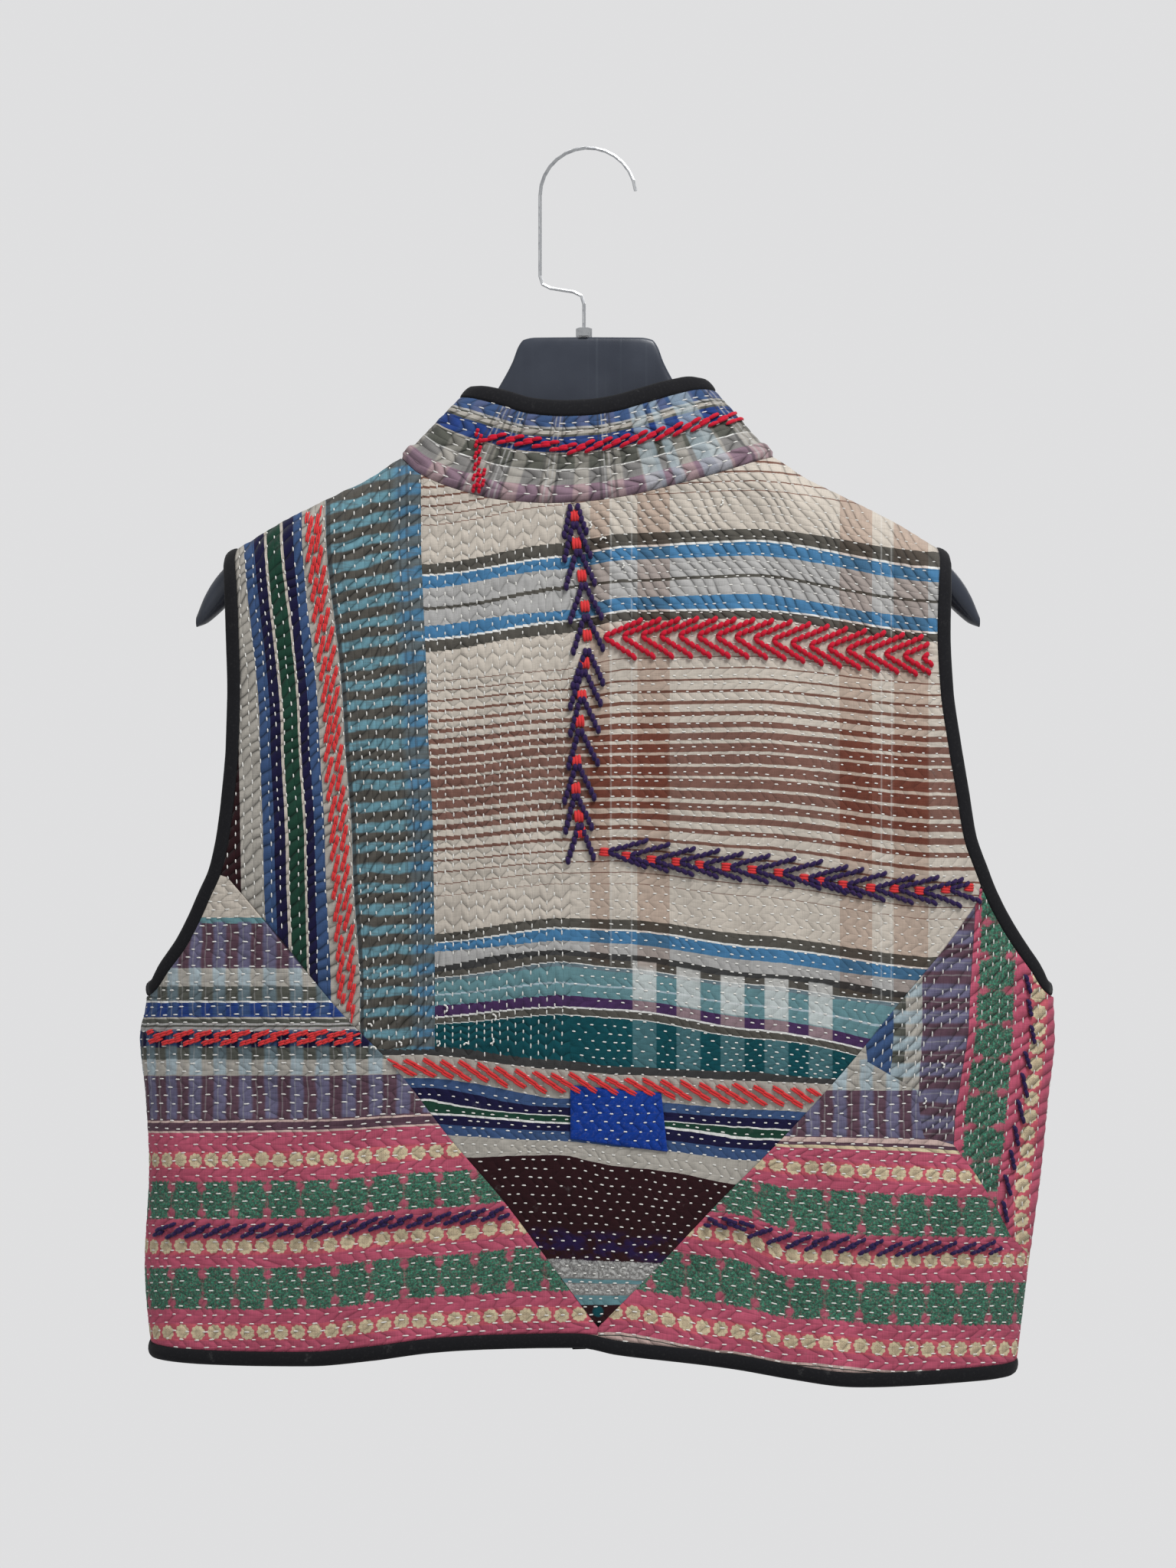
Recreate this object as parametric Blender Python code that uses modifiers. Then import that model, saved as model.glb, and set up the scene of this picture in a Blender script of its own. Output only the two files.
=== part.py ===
"""Quilted patchwork vest hanging on a moulded hanger with a wire hook.

The back of the vest faces -Y and its fronts face +Y. The origin is the inside top of the hook.
Sizes below are millimetres, and heights are measured from the origin, so most are negative.
"""
import bisect
import math
from collections import namedtuple

import bmesh
import bpy
from mathutils import Vector

MM = 0.001
BACK = -1
FRONT = 1

# Cloth, quilting and bindings
WALL = 2.2
SEAM_GAP = 0.3
RIDGE_HEIGHT = 0.8
ROW_STEP = 7.5
BINDING_WIDTH = 8.5
BINDING_PROUD = 0.6
BINDING_BACKING = 2.8
PATCH_LIFT = 1.15
PATCH_WALL = 1.2

# Rounding of the hollow body: squareness of its plan, and the drop over which the shoulders close
SQUARENESS = 2.6
CROWN = 26.0
FORWARD_TIPS = 15.0
WAVE_HEIGHT = 2.5
WAVE_LENGTH = 135.0

# Heights that the rows of the quilting run between
ROW_TOP = -205.0
ROW_HEM = -675.0
TOP_EASE = 110.0
HEM_EASE = 120.0
ROW_ARMHOLE_TOP = -232.0
UNDERARM = -483.0
SEAM_START = {-1: -412.5, 1: -420.0}
SEAM_TIP = -659.0
TIP_ROW = -667.5
CENTRE_SEAM = 5.5
DIAGONAL_SPREAD = 1.45
NECK_HALF = 106.0
FRONT_EDGE = 9.3
NECK_FRONT = -240.0
HEM_FRONT = {-1: -678.5, 1: -689.0}

# Collar
COLLAR_TOP_HALF = 66.0
COLLAR_TOP_BACK = 20.0
COLLAR_TOP_FRONT = 18.0
COLLAR_FRONT_EDGE = -186.0
COLLAR_BINDING = 10.0
COLLAR_ROWS = 8
NECK_STEPS = 12
FRONT_NECK_STEPS = 6
SHOULDER_STEPS = 4
PANEL_STEPS = 8

Shoulder = namedtuple("Shoulder", "out z")
SHOULDERS = [
    Shoulder(0, -138.0),
    Shoulder(60, -158.0),
    Shoulder(106, -175.5),
    Shoulder(124, -187.0),
    Shoulder(142, -195.5),
    Shoulder(178, -213.0),
    Shoulder(194, -222.5),
    Shoulder(212, -232.0),
]

Girth = namedtuple("Girth", "z left right back front")
GIRTHS = [
    Girth(-176, 250.0, 262.0, 26, 24),
    Girth(-232, 250.0, 262.0, 32, 29),
    Girth(-300, 250.0, 262.0, 40, 34),
    Girth(-400, 250.0, 263.0, 47, 39),
    Girth(-486, 252.5, 266.0, 48, 40),
    Girth(-505, 256.0, 266.5, 48, 40),
    Girth(-540, 252.5, 262.7, 47, 40),
    Girth(-580, 250.5, 258.7, 47, 40),
    Girth(-635, 253.0, 251.5, 46, 39),
    Girth(-700, 247.5, 243.5, 45, 38),
]

Armhole = namedtuple("Armhole", "z left right inset")
ARMHOLES = [
    Armhole(-232, 201.0, 200.0, 0),
    Armhole(-250, 198.2, 197.7, 2),
    Armhole(-280, 196.5, 196.5, 6),
    Armhole(-310, 195.3, 197.8, 9),
    Armhole(-340, 195.7, 201.8, 10),
    Armhole(-368, 197.8, 206.3, 10),
    Armhole(-392, 200.8, 210.2, 9),
    Armhole(-412, 205.5, 217.5, 8),
    Armhole(-424, 211.0, 222.3, 7),
    Armhole(-440, 218.5, 230.8, 5),
    Armhole(-454, 226.4, 240.0, 3),
    Armhole(-467, 236.5, 250.0, 1),
    Armhole(-478, 244.5, 257.8, 0),
    Armhole(-482, 250.0, 263.3, 0),
    Armhole(-483, 252.4, 265.9, 0),
]

Diagonal = namedtuple("Diagonal", "z left right")
DIAGONALS = [
    Diagonal(-411, -204.0, 219.4),
    Diagonal(-423, -192.7, 219.0),
    Diagonal(-440, -176.6, 208.5),
    Diagonal(-484, -139.8, 171.5),
    Diagonal(-519, -105.3, 142.0),
    Diagonal(-557, -75.8, 107.0),
    Diagonal(-591, -46.7, 73.0),
    Diagonal(-627, -19.4, 38.3),
    Diagonal(-659, 4.6, 6.4),
]

Hem = namedtuple("Hem", "x z")
BACK_HEM = [
    Hem(-250, -678.5),
    Hem(-200, -678.0),
    Hem(-155, -676.0),
    Hem(-120, -671.5),
    Hem(-85, -667.0),
    Hem(-45, -665.0),
    Hem(-4, -663.5),
    Hem(15, -667.0),
    Hem(47, -671.5),
    Hem(80, -676.5),
    Hem(114, -682.5),
    Hem(148, -687.0),
    Hem(200, -688.5),
    Hem(250, -689.0),
]

# Neckline of the back and top edge of the collar, across from -1 at the left of the neck to 1 at the right
Neck = namedtuple("Neck", "across seam edge")
NECKLINE = [
    Neck(-1.0, -176.5, -134.5),
    Neck(-0.9, -187.0, -135.5),
    Neck(-0.7, -196.5, -139.0),
    Neck(-0.45, -203.0, -144.0),
    Neck(-0.2, -204.8, -145.3),
    Neck(0.0, -203.8, -144.8),
    Neck(0.2, -200.8, -142.8),
    Neck(0.45, -194.5, -138.0),
    Neck(0.7, -187.0, -133.0),
    Neck(0.9, -179.5, -130.3),
    Neck(1.0, -175.5, -130.5),
]

# The patch's four corners, left to right along the top and then along the bottom
Corner = namedtuple("Corner", "x z")
PATCH_TOP = (Corner(-9.7, -526.9), Corner(40.2, -531.1))
PATCH_BOTTOM = (Corner(-9.7, -556.3), Corner(43.6, -563.5))
PATCH_COLUMNS = 5
PATCH_ROWS = 3

# One half of the hanger: top and bottom edges, half thickness and squareness of its section
Rib = namedtuple("Rib", "out top bottom deep square")
HANGER = [
    Rib(0, -107.0, -152.0, 3.5, 5.0),
    Rib(30, -107.2, -160.0, 3.5, 5.0),
    Rib(36.5, -108.4, -164.0, 3.5, 5.0),
    Rib(39.5, -112.0, -166.0, 3.6, 4.5),
    Rib(43, -121.0, -169.0, 3.8, 4.0),
    Rib(48, -130.5, -172.0, 4.0, 3.5),
    Rib(56, -143.0, -177.0, 4.0, 3.0),
    Rib(68, -155.0, -183.0, 4.2, 2.6),
    Rib(84, -168.0, -190.0, 5.0, 2.4),
    Rib(104, -180.5, -200.0, 6.2, 2.2),
    Rib(130, -193.1, -210.0, 9.0, 2.2),
    Rib(155, -204.9, -222.0, 10.5, 2.2),
    Rib(178, -216.2, -235.0, 12.0, 2.2),
    Rib(197, -227.9, -249.0, 12.5, 2.2),
    Rib(206, -234.5, -257.0, 12.0, 2.2),
    Rib(214, -243.0, -264.5, 10.5, 2.2),
    Rib(220, -252.5, -269.0, 8.0, 2.2),
    Rib(225.5, -265.0, -271.0, 3.0, 2.2),
]
RIB_POINTS = 10

# Wire hook and its nut
WIRE_RADIUS = 1.0
HOOK_RADIUS = 27.3
HOOK_END_ANGLE = 6.0
HOOK_STEPS = 14
STEM_X = -2.3
SHANK_TOP = -72.6
SHELF = -81.0
BEND = 6.0
NUT_RADIUS = 4.6
NUT_BORE = 1.6
NUT_TOP = -102.0
NUT_SIDES = 6

INK = (0.012, 0.012, 0.013, 1.0)
CREAM = (0.62, 0.56, 0.48, 1.0)
ROSE = (0.42, 0.10, 0.17, 1.0)
GREY_BLUE = (0.22, 0.27, 0.34, 1.0)
BLUE = (0.02, 0.07, 0.40, 1.0)
HANGER_BLACK = (0.02, 0.024, 0.032, 1.0)
STEEL = (0.60, 0.61, 0.62, 1.0)


def eased(table, key, value):
    """A smooth curve through one column of a table, read along another."""
    rows = sorted((getattr(row, key), getattr(row, value)) for row in table)
    keys = [row[0] for row in rows]
    values = [row[1] for row in rows]
    rises = [(values[i + 1] - values[i]) / (keys[i + 1] - keys[i]) for i in range(len(keys) - 1)]
    slopes = [rises[0]]
    for before, after in zip(rises, rises[1:]):
        slopes.append(0.0 if before * after <= 0 else 2 * before * after / (before + after))
    slopes.append(rises[-1])

    def read(place):
        place = min(max(place, keys[0]), keys[-1])
        i = min(bisect.bisect_right(keys, place), len(keys) - 1) - 1
        span = keys[i + 1] - keys[i]
        t = (place - keys[i]) / span
        start = (1 + 2 * t) * (1 - t) ** 2 * values[i] + t * (1 - t) ** 2 * span * slopes[i]
        end = t * t * (3 - 2 * t) * values[i + 1] + t * t * (t - 1) * span * slopes[i + 1]
        return start + end

    return read


shoulder = eased(SHOULDERS, "out", "z")
half_left = eased(GIRTHS, "z", "left")
half_right = eased(GIRTHS, "z", "right")
depth_of = {BACK: eased(GIRTHS, "z", "back"), FRONT: eased(GIRTHS, "z", "front")}
armhole_at = {-1: eased(ARMHOLES, "z", "left"), 1: eased(ARMHOLES, "z", "right")}
armhole_inset = eased(ARMHOLES, "z", "inset")
diagonal_at = {-1: eased(DIAGONALS, "z", "left"), 1: eased(DIAGONALS, "z", "right")}
back_hem = eased(BACK_HEM, "x", "z")
neck_seam = eased(NECKLINE, "across", "seam")
neck_edge = eased(NECKLINE, "across", "edge")


def smooth(t):
    """Eases from 0 to 1 as t goes from 0 to 1."""
    t = min(max(t, 0.0), 1.0)
    return t * t * (3 - 2 * t)


def half_width(x, z):
    """Half width of the body at a height, on the side that x is on."""
    return half_left(z) if x < 0 else half_right(z)


def lean(x, z):
    """How far the sides come forward, most at the hanger's tips."""
    hang = 1.0 - 0.65 * smooth((shoulder(NECK_HALF) - z) / 400.0)
    return FORWARD_TIPS * min(abs(x) / 211.0, 1.2) ** 2 * hang


def wave(x, z):
    """Soft upright folds that grow towards the hem."""
    return WAVE_HEIGHT * smooth((-440.0 - z) / 220.0) * math.sin(2 * math.pi * (x + 20) / WAVE_LENGTH)


def bulge(x, z, face):
    """Distance of the cloth's outside from the seam between back and fronts."""
    fall = min(max(shoulder(abs(x)) - z, 0.0), CROWN)
    crown = math.sqrt(1 - (1 - fall / CROWN) ** 2)
    reach = min(abs(x) / half_width(x, z), 1.0)
    rounding = max(1 - reach ** SQUARENESS, 0.0) ** (1 / SQUARENESS)
    return (depth_of[face](z) * crown + wave(x, z)) * rounding


def surface(x, z, face):
    """Point on the outside of the back or of the fronts."""
    return Vector((x, lean(x, z) + face * (SEAM_GAP / 2 + bulge(x, z, face)), z))


def outward(x, z, face):
    """Direction out of the cloth, from the slopes of bulge(), which grow without limit near a seam."""
    fall = min(max(shoulder(abs(x)) - z, 1e-5), CROWN)
    crown = math.sqrt(1 - (1 - fall / CROWN) ** 2)
    crown_slope = (1 - fall / CROWN) / CROWN / crown
    half = half_width(x, z)
    reach = min(abs(x) / half, 1 - 1e-7)
    rest = 1 - reach ** SQUARENESS
    rounding = rest ** (1 / SQUARENESS)
    round_slope = -(reach ** (SQUARENESS - 1)) * rest ** (1 / SQUARENESS - 1) * math.copysign(1 / half, x)
    side = math.copysign(1.0, x)
    shoulder_slope = side * (shoulder(abs(x) + 0.5) - shoulder(abs(x) - 0.5))
    deep = depth_of[face](z)
    widening = (half_width(x, z + 1) - half_width(x, z - 1)) / 2 * side
    wave_x = wave(x + 0.5, z) - wave(x - 0.5, z)
    along_x = deep * (crown_slope * shoulder_slope * rounding + crown * round_slope) + wave_x * rounding
    along_z = -deep * crown_slope * rounding - deep * crown * round_slope * widening * abs(x) / half * side
    lean_x = lean(x + 0.5, z) - lean(x - 0.5, z)
    return Vector((-along_x - face * lean_x, face, -along_z)).normalized()


def top_line(x, face):
    """Height of the shoulder seam, or of the neckline between the shoulders."""
    if abs(x) >= NECK_HALF:
        return shoulder(abs(x))
    across = x / NECK_HALF
    if face == BACK:
        return neck_seam(across)
    side = neck_seam(math.copysign(1.0, x))
    return side + (NECK_FRONT - side) * (1 - across * across)


def hem_line(x, face):
    """Height of the panels' lower edge, above the hem binding."""
    if face == BACK:
        return back_hem(x)
    share = (x / 250.0 + 1) / 2
    return HEM_FRONT[-1] + (HEM_FRONT[1] - HEM_FRONT[-1]) * min(max(share, 0.0), 1.0)


def height(level, x, face, top_x):
    """Height of a row: level in the middle, following the shoulders above and the hem below."""
    top_share = 1 - smooth((ROW_TOP - level) / TOP_EASE)
    hem_share = smooth((ROW_HEM + HEM_EASE - level) / HEM_EASE)
    return level + top_share * (top_line(top_x, face) - ROW_TOP) + hem_share * (hem_line(x, face) - ROW_HEM)


def row_levels():
    """Levels of all rows, closer together over the shoulders and round the underarm."""
    levels = [ROW_TOP - drop for drop in (0.0, 1.0, 3.5, 8.0, 14.0)]
    level = ROW_TOP - 20.0
    while level >= ROW_HEM:
        levels.append(level)
        level -= ROW_STEP
    return sorted(levels + [UNDERARM + 1.0, UNDERARM], reverse=True)


LEVELS = row_levels()


def kept(level):
    """True for the rows that the plain inside keeps."""
    index = LEVELS.index(level)
    special = (SEAM_START[-1], SEAM_START[1], UNDERARM, UNDERARM + 1, UNDERARM + 3, TIP_ROW, ROW_HEM)
    return index < 6 or index % 4 == 1 or level in special


def ridge(level):
    """Raised rows of quilting: 0 in a valley, 1 on a ridge."""
    phase = ((ROW_TOP - 20.0 - level) / ROW_STEP) % 2
    return min(phase, 2 - phase) if level < ROW_TOP - 20.0 else 0.0


def turn_of(x, z):
    """Angle round the body at which a row reaches x."""
    return math.asin(min(max(x / half_width(x, z), -1.0), 1.0))


def crossing(edge, level, face, top_x):
    """Turn angle at which a row meets an edge given as x over height."""
    z = level
    for _ in range(12):
        x = edge(z)
        z = height(level, x, face, top_x)
    return turn_of(x, z)


def armhole_edge(side, face):
    """The panel's armhole edge as x over height."""
    inset = 1.0 if face == FRONT else 0.0
    return lambda z: side * (armhole_at[side](z) - inset * armhole_inset(z))


def side_turn(side, face):
    """A panel's outer edge as a turn angle over level: the armhole, and below it the side seam."""
    def turn(level):
        if level <= UNDERARM:
            return side * math.pi / 2
        return crossing(armhole_edge(side, face), level, face, side * armhole_at[side](ROW_ARMHOLE_TOP))
    return turn


def seam_turn(side, shift):
    """The diagonal seam, and below its tip the short upright seam, as a turn angle over level."""
    def edge(z):
        if z >= SEAM_TIP:
            return diagonal_at[side](z) + shift * DIAGONAL_SPREAD
        return CENTRE_SEAM + shift
    return lambda level: crossing(edge, level, BACK, 0.0)


def centre_turn(side):
    """The centre panel's edge: the armhole down to where the diagonal starts, then the diagonal."""
    above = side_turn(side, BACK)
    below = seam_turn(side, -side * SEAM_GAP / 2)
    return lambda level: above(level) if level > SEAM_START[side] else below(level)


def front_turn(side):
    """The front edge as a turn angle over level."""
    return lambda level: crossing(lambda z: side * FRONT_EDGE, level, FRONT, side * FRONT_EDGE)


Spot = namedtuple("Spot", "x z face level")


def panel(levels, left, right, face, shares, top_xs):
    """Rows of spots between a left and a right edge, both given as turn angles over level."""
    rows = []
    for level in levels:
        start = left(level)
        end = right(level)
        row = []
        for share, top_x in zip(shares, top_xs):
            turn = start + (end - start) * share
            z = level
            for _ in range(4):
                x = math.sin(turn) * (half_left(z) if turn < 0 else half_right(z))
                z = height(level, x, face, top_x)
            row.append(Spot(x, z, face, level))
        rows.append(row)
    return rows


def clear_scene():
    """Removes every object that the file holds."""
    for thing in list(bpy.data.objects):
        bpy.data.objects.remove(thing, do_unlink=True)


def material(name, colour, roughness, metallic=0.0):
    """A plain surface."""
    made = bpy.data.materials.new(name)
    made.use_nodes = True
    shader = made.node_tree.nodes["Principled BSDF"]
    shader.inputs["Base Color"].default_value = colour
    shader.inputs["Roughness"].default_value = roughness
    shader.inputs["Metallic"].default_value = metallic
    made.diffuse_color = colour
    return made


def add_object(name, data, look, collection):
    """Puts a mesh or curve into the vest's collection."""
    made = bpy.data.objects.new(name, data)
    made.data.materials.append(look)
    collection.objects.link(made)
    return made


def closed_mesh(name, points, faces):
    """A mesh in metres from points in millimetres, with its faces turned outwards."""
    mesh = bpy.data.meshes.new(name)
    build = bmesh.new()
    corners = [build.verts.new(point * MM) for point in points]
    for face in faces:
        build.faces.new([corners[i] for i in face])
    bmesh.ops.recalc_face_normals(build, faces=build.faces)
    build.to_mesh(mesh)
    build.free()
    mesh.shade_smooth()
    mesh.set_sharp_from_angle(angle=math.radians(40))
    return mesh


def quilted_sheet(name, outer, inner, keep):
    """A wall between a ridged outer grid and a plain inner one.

    The inner grid has every point along its two side edges, and between them only the kept rows.
    """
    count = len(outer)
    last = len(outer[0]) - 1
    points = [point for row in outer for point in row]
    faces = []

    def out(k, j):
        return k * (last + 1) + j

    for k in range(count - 1):
        for j in range(last):
            faces.append((out(k, j), out(k, j + 1), out(k + 1, j + 1), out(k + 1, j)))
    inside = {}
    for k in range(count):
        for j in range(last + 1):
            if keep[k] or j in (0, last):
                inside[k, j] = len(points)
                points.append(inner[k][j])
    marks = [k for k in range(count) if keep[k]]
    for top, bottom in zip(marks, marks[1:]):
        for j in range(1, last - 1):
            faces.append((inside[top, j], inside[bottom, j], inside[bottom, j + 1], inside[top, j + 1]))
        middle = (top + bottom + 1) // 2
        for edge, next_to in ((0, 1), (last, last - 1)):
            for k in range(top, bottom):
                anchor = top if k < middle else bottom
                faces.append((inside[anchor, next_to], inside[k, edge], inside[k + 1, edge]))
            faces.append((inside[top, next_to], inside[middle, edge], inside[bottom, next_to]))
    for k in range(count - 1):
        for j in (0, last):
            faces.append((out(k, j), out(k + 1, j), inside[k + 1, j]))
            faces.append((out(k, j), inside[k + 1, j], inside[k, j]))
    for k in (0, count - 1):
        for j in range(last):
            faces.append((out(k, j), out(k, j + 1), inside[k, j + 1]))
            faces.append((out(k, j), inside[k, j + 1], inside[k, j]))
    return closed_mesh(name, points, faces)


def cloth_panel(name, rows, look, collection, mitres=None):
    """A quilted panel on the body's surface. Mitres give the depth direction where the collar joins."""
    outer = []
    inner = []
    last = len(rows[0]) - 1
    for k, row in enumerate(rows):
        outer_row = []
        inner_row = []
        for j, spot in enumerate(row):
            point = surface(spot.x, spot.z, spot.face)
            out = outward(spot.x, spot.z, spot.face)
            rise = 0.0 if j in (0, last) or k in (0, len(rows) - 1) else RIDGE_HEIGHT * ridge(spot.level)
            outer_row.append(point + out * rise)
            deep = mitres[j] if k == 0 and mitres and j in mitres else out
            inner_row.append(point - deep * WALL)
        outer.append(outer_row)
        inner.append(inner_row)
    keep = [kept(row[0].level) or k in (0, len(rows) - 1) for k, row in enumerate(rows)]
    return add_object(name, quilted_sheet(name, outer, inner, keep), look, collection)


Station = namedtuple("Station", "point along_width out")


def binding(name, stations, width, look, collection, closed=False):
    """A folded strip along an edge: flat against the panel, thinner at its outer fold."""
    section = (
        (0.0, -BINDING_BACKING),
        (0.0, BINDING_PROUD),
        (width - 1.4, BINDING_PROUD),
        (width, (BINDING_PROUD - BINDING_BACKING) / 2),
        (width - 1.4, -BINDING_BACKING),
    )
    points = []
    for station in stations:
        for across, up in section:
            points.append(station.point + station.along_width * across + station.out * up)
    size = len(section)
    faces = []
    spans = len(stations) if closed else len(stations) - 1
    for i in range(spans):
        here = i * size
        there = (i + 1) % len(stations) * size
        faces.append((here + 1, there + 1, there))
        faces.append((here + 1, there, here))
        for j in range(1, size):
            other = (j + 1) % size
            faces.append((here + j, here + other, there + other, there + j))
    if not closed:
        faces.append(tuple(range(size)))
        faces.append(tuple((len(stations) - 1) * size + j for j in range(size)))
    return add_object(name, closed_mesh(name, points, faces), look, collection)


def neck_turns():
    """Places across the neck, from -1 to 1, evenly round a half turn."""
    return [-math.cos(math.pi * i / NECK_STEPS) for i in range(NECK_STEPS + 1)]


def shoulder_places(side):
    """Places along a shoulder from the neck out to the armhole."""
    tip = armhole_at[side](ROW_ARMHOLE_TOP)
    return [side * (NECK_HALF + (tip - NECK_HALF) * i / SHOULDER_STEPS) for i in range(SHOULDER_STEPS + 1)]


def front_neck_places(side):
    """Places along the front neckline from the neck's side in to the front edge."""
    end = math.asin(FRONT_EDGE / NECK_HALF)
    turns = [math.pi / 2 + (end - math.pi / 2) * i / FRONT_NECK_STEPS for i in range(FRONT_NECK_STEPS + 1)]
    return [side * NECK_HALF * math.sin(turn) for turn in turns]


def as_shares(places, face):
    """Turn angles of the top row's places as shares of the way from the first to the last."""
    turns = [turn_of(x, top_line(x, face)) for x in places]
    return [(turn - turns[0]) / (turns[-1] - turns[0]) for turn in turns]


CollarRib = namedtuple("CollarRib", "base top across face")


def collar_ribs():
    """Upright lines of the collar, from the left front end round the back to the right front end."""
    ribs = []
    left = [(x, FRONT) for x in reversed(front_neck_places(-1))]
    back = [(NECK_HALF * across, BACK) for across in neck_turns()[1:-1]]
    right = [(x, FRONT) for x in front_neck_places(1)]
    for x, face in left + back + right:
        base = surface(x, top_line(x, face), face)
        across = x / NECK_HALF
        ribs.append(CollarRib(base, collar_top(x, face), across, face))
    for i, rib in enumerate(ribs):
        if abs(rib.across) > 0.999:
            base = rib.base.copy()
            base.y = lean(base.x, base.z)
            ribs[i] = rib._replace(base=base)
    return ribs


def collar_top(x, face):
    """Point of the collar's upper edge that belongs to a place on the neckline."""
    across = x / NECK_HALF
    if face == BACK:
        top_x = across * COLLAR_TOP_HALF
        z = neck_edge(across)
        deep = COLLAR_TOP_BACK
    else:
        share = (abs(x) - FRONT_EDGE) / (NECK_HALF - FRONT_EDGE)
        top_x = math.copysign(FRONT_EDGE + (COLLAR_TOP_HALF - FRONT_EDGE) * share, x)
        side = neck_edge(math.copysign(1.0, x))
        z = side + (COLLAR_FRONT_EDGE - side) * (1 - abs(across) ** 1.6)
        deep = COLLAR_TOP_FRONT
    rounding = max(1 - (abs(top_x) / COLLAR_TOP_HALF) ** 2.2, 0.0) ** (1 / 2.2)
    return Vector((top_x, face * deep * rounding, z))


def rib_normals(ribs):
    """Direction out of the collar at each rib."""
    normals = []
    for i, rib in enumerate(ribs):
        before = ribs[max(i - 1, 0)]
        after = ribs[min(i + 1, len(ribs) - 1)]
        along = (after.base + after.top) / 2 - (before.base + before.top) / 2
        normals.append(along.cross(rib.top - rib.base).normalized())
    return normals


def neck_mitres(ribs, normals):
    """Depth direction shared by the collar and the panels below it."""
    mitres = []
    for rib, normal in zip(ribs, normals):
        side_point = abs(rib.across) > 0.999
        z = rib.base.z
        out = outward(rib.base.x, z, rib.face)
        if side_point:
            out = (out + outward(rib.base.x, z, BACK)).normalized()
        mitres.append((out + normal).normalized())
    return mitres


def build_collar(ribs, normals, mitres, look, trim, collection):
    """The stand collar and its binding."""
    outer = []
    inner = []
    for k in range(COLLAR_ROWS + 1):
        outer_row = []
        inner_row = []
        for rib, normal, mitre in zip(ribs, normals, mitres):
            tall = (rib.top - rib.base).length
            low = SEAM_GAP / tall
            high = 1 - (COLLAR_BINDING + SEAM_GAP) / tall
            share = low + (high - low) * k / COLLAR_ROWS
            point = rib.base.lerp(rib.top, share)
            raised = k % 2 == 1 and 0 < len(outer_row) < len(ribs) - 1
            outer_row.append(point + normal * (RIDGE_HEIGHT if raised else 0.0))
            deep = mitre if k == 0 else normal
            inner_row.append(point - deep * WALL)
        outer.append(outer_row)
        inner.append(inner_row)
    keep = [k % 4 == 0 for k in range(COLLAR_ROWS + 1)]
    add_object("collar", quilted_sheet("collar", outer, inner, keep), look, collection)
    stations = []
    for rib, normal in zip(ribs, normals):
        tall = (rib.top - rib.base).length
        up = (rib.top - rib.base).normalized()
        stations.append(Station(rib.base + up * (tall - COLLAR_BINDING), up, normal))
    binding("collar_binding", stations, COLLAR_BINDING, trim, collection)


def armhole_station(side, level, face):
    """Point on the panel's armhole edge at a row, and the direction out of the cloth there."""
    edge = armhole_edge(side, face)
    z = level
    for _ in range(12):
        x = edge(z)
        z = height(level, x, face, side * armhole_at[side](ROW_ARMHOLE_TOP))
    x = side * min(abs(x), half_width(x, z))
    return surface(x, z, face), outward(x, z, face)


def build_armhole(side, name, look, collection):
    """A closed ring of binding: down the back edge, round the underarm and up the front edge."""
    levels = [level for level in LEVELS if level >= UNDERARM]
    loop = [armhole_station(side, level, BACK) for level in levels]
    front = [armhole_station(side, level, FRONT) for level in reversed(levels)]
    under = loop.pop()
    other_under = front.pop(0)
    shoulder_front = front.pop()
    shoulder_back = loop.pop(0)
    top = ((shoulder_back[0] + shoulder_front[0]) / 2, (shoulder_back[1] + shoulder_front[1]).normalized())
    bottom = ((under[0] + other_under[0]) / 2, (under[1] + other_under[1]).normalized())
    ring = [top] + loop + [bottom] + front
    stations = []
    for i, (point, out) in enumerate(ring):
        ahead = ring[(i + 1) % len(ring)][0] - ring[i - 1][0]
        width = ahead.cross(out).normalized() * side
        if width.dot(Vector((side, 0, 0.6))) < 0:
            width = -width
        stations.append(Station(point + width * SEAM_GAP, width, out))
    return binding(name, stations, BINDING_WIDTH, look, collection, closed=True)


def build_hem(edges, look, collection):
    """The hem binding, along the lower edges of all panels."""
    stations = []
    for group in edges:
        for upper, lower in group:
            point = surface(lower.x, lower.z, lower.face)
            down = (point - surface(upper.x, upper.z, upper.face)).normalized()
            out = outward(lower.x, lower.z, lower.face)
            if stations and (stations[-1].point - down * SEAM_GAP - point).length < 1.0:
                before = stations.pop()
                point = (before.point - before.along_width * SEAM_GAP + point) / 2
                out = (before.out + out).normalized()
                down = (before.along_width + down).normalized()
            stations.append(Station(point + down * SEAM_GAP, down, out))
    return binding("hem_binding", stations, BINDING_WIDTH, look, collection)


def build_front_binding(side, name, rows, rib, normal, look, collection):
    """Binding of a front edge, from the hem up to the collar's top."""
    spots = [row[-1] for row in rows if kept(row[0].level)]
    toward = Vector((-side, 0, 0))
    gap = toward * SEAM_GAP
    stations = []
    for k in (COLLAR_ROWS, COLLAR_ROWS // 2):
        stations.append(Station(rib.base.lerp(rib.top, k / COLLAR_ROWS) + gap, toward, normal))
    for spot in spots:
        out = outward(spot.x, spot.z, FRONT)
        if spot is spots[0]:
            out = (out + normal).normalized()
        stations.append(Station(surface(spot.x, spot.z, FRONT) + gap, toward, out))
    lowest = spots[-1]
    end = surface(lowest.x, lowest.z, FRONT) + Vector((0, 0, -BINDING_WIDTH - SEAM_GAP))
    stations.append(Station(end + gap, toward, outward(lowest.x, lowest.z, FRONT)))
    return binding(name, stations, FRONT_EDGE - 2 * SEAM_GAP, look, collection)


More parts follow.
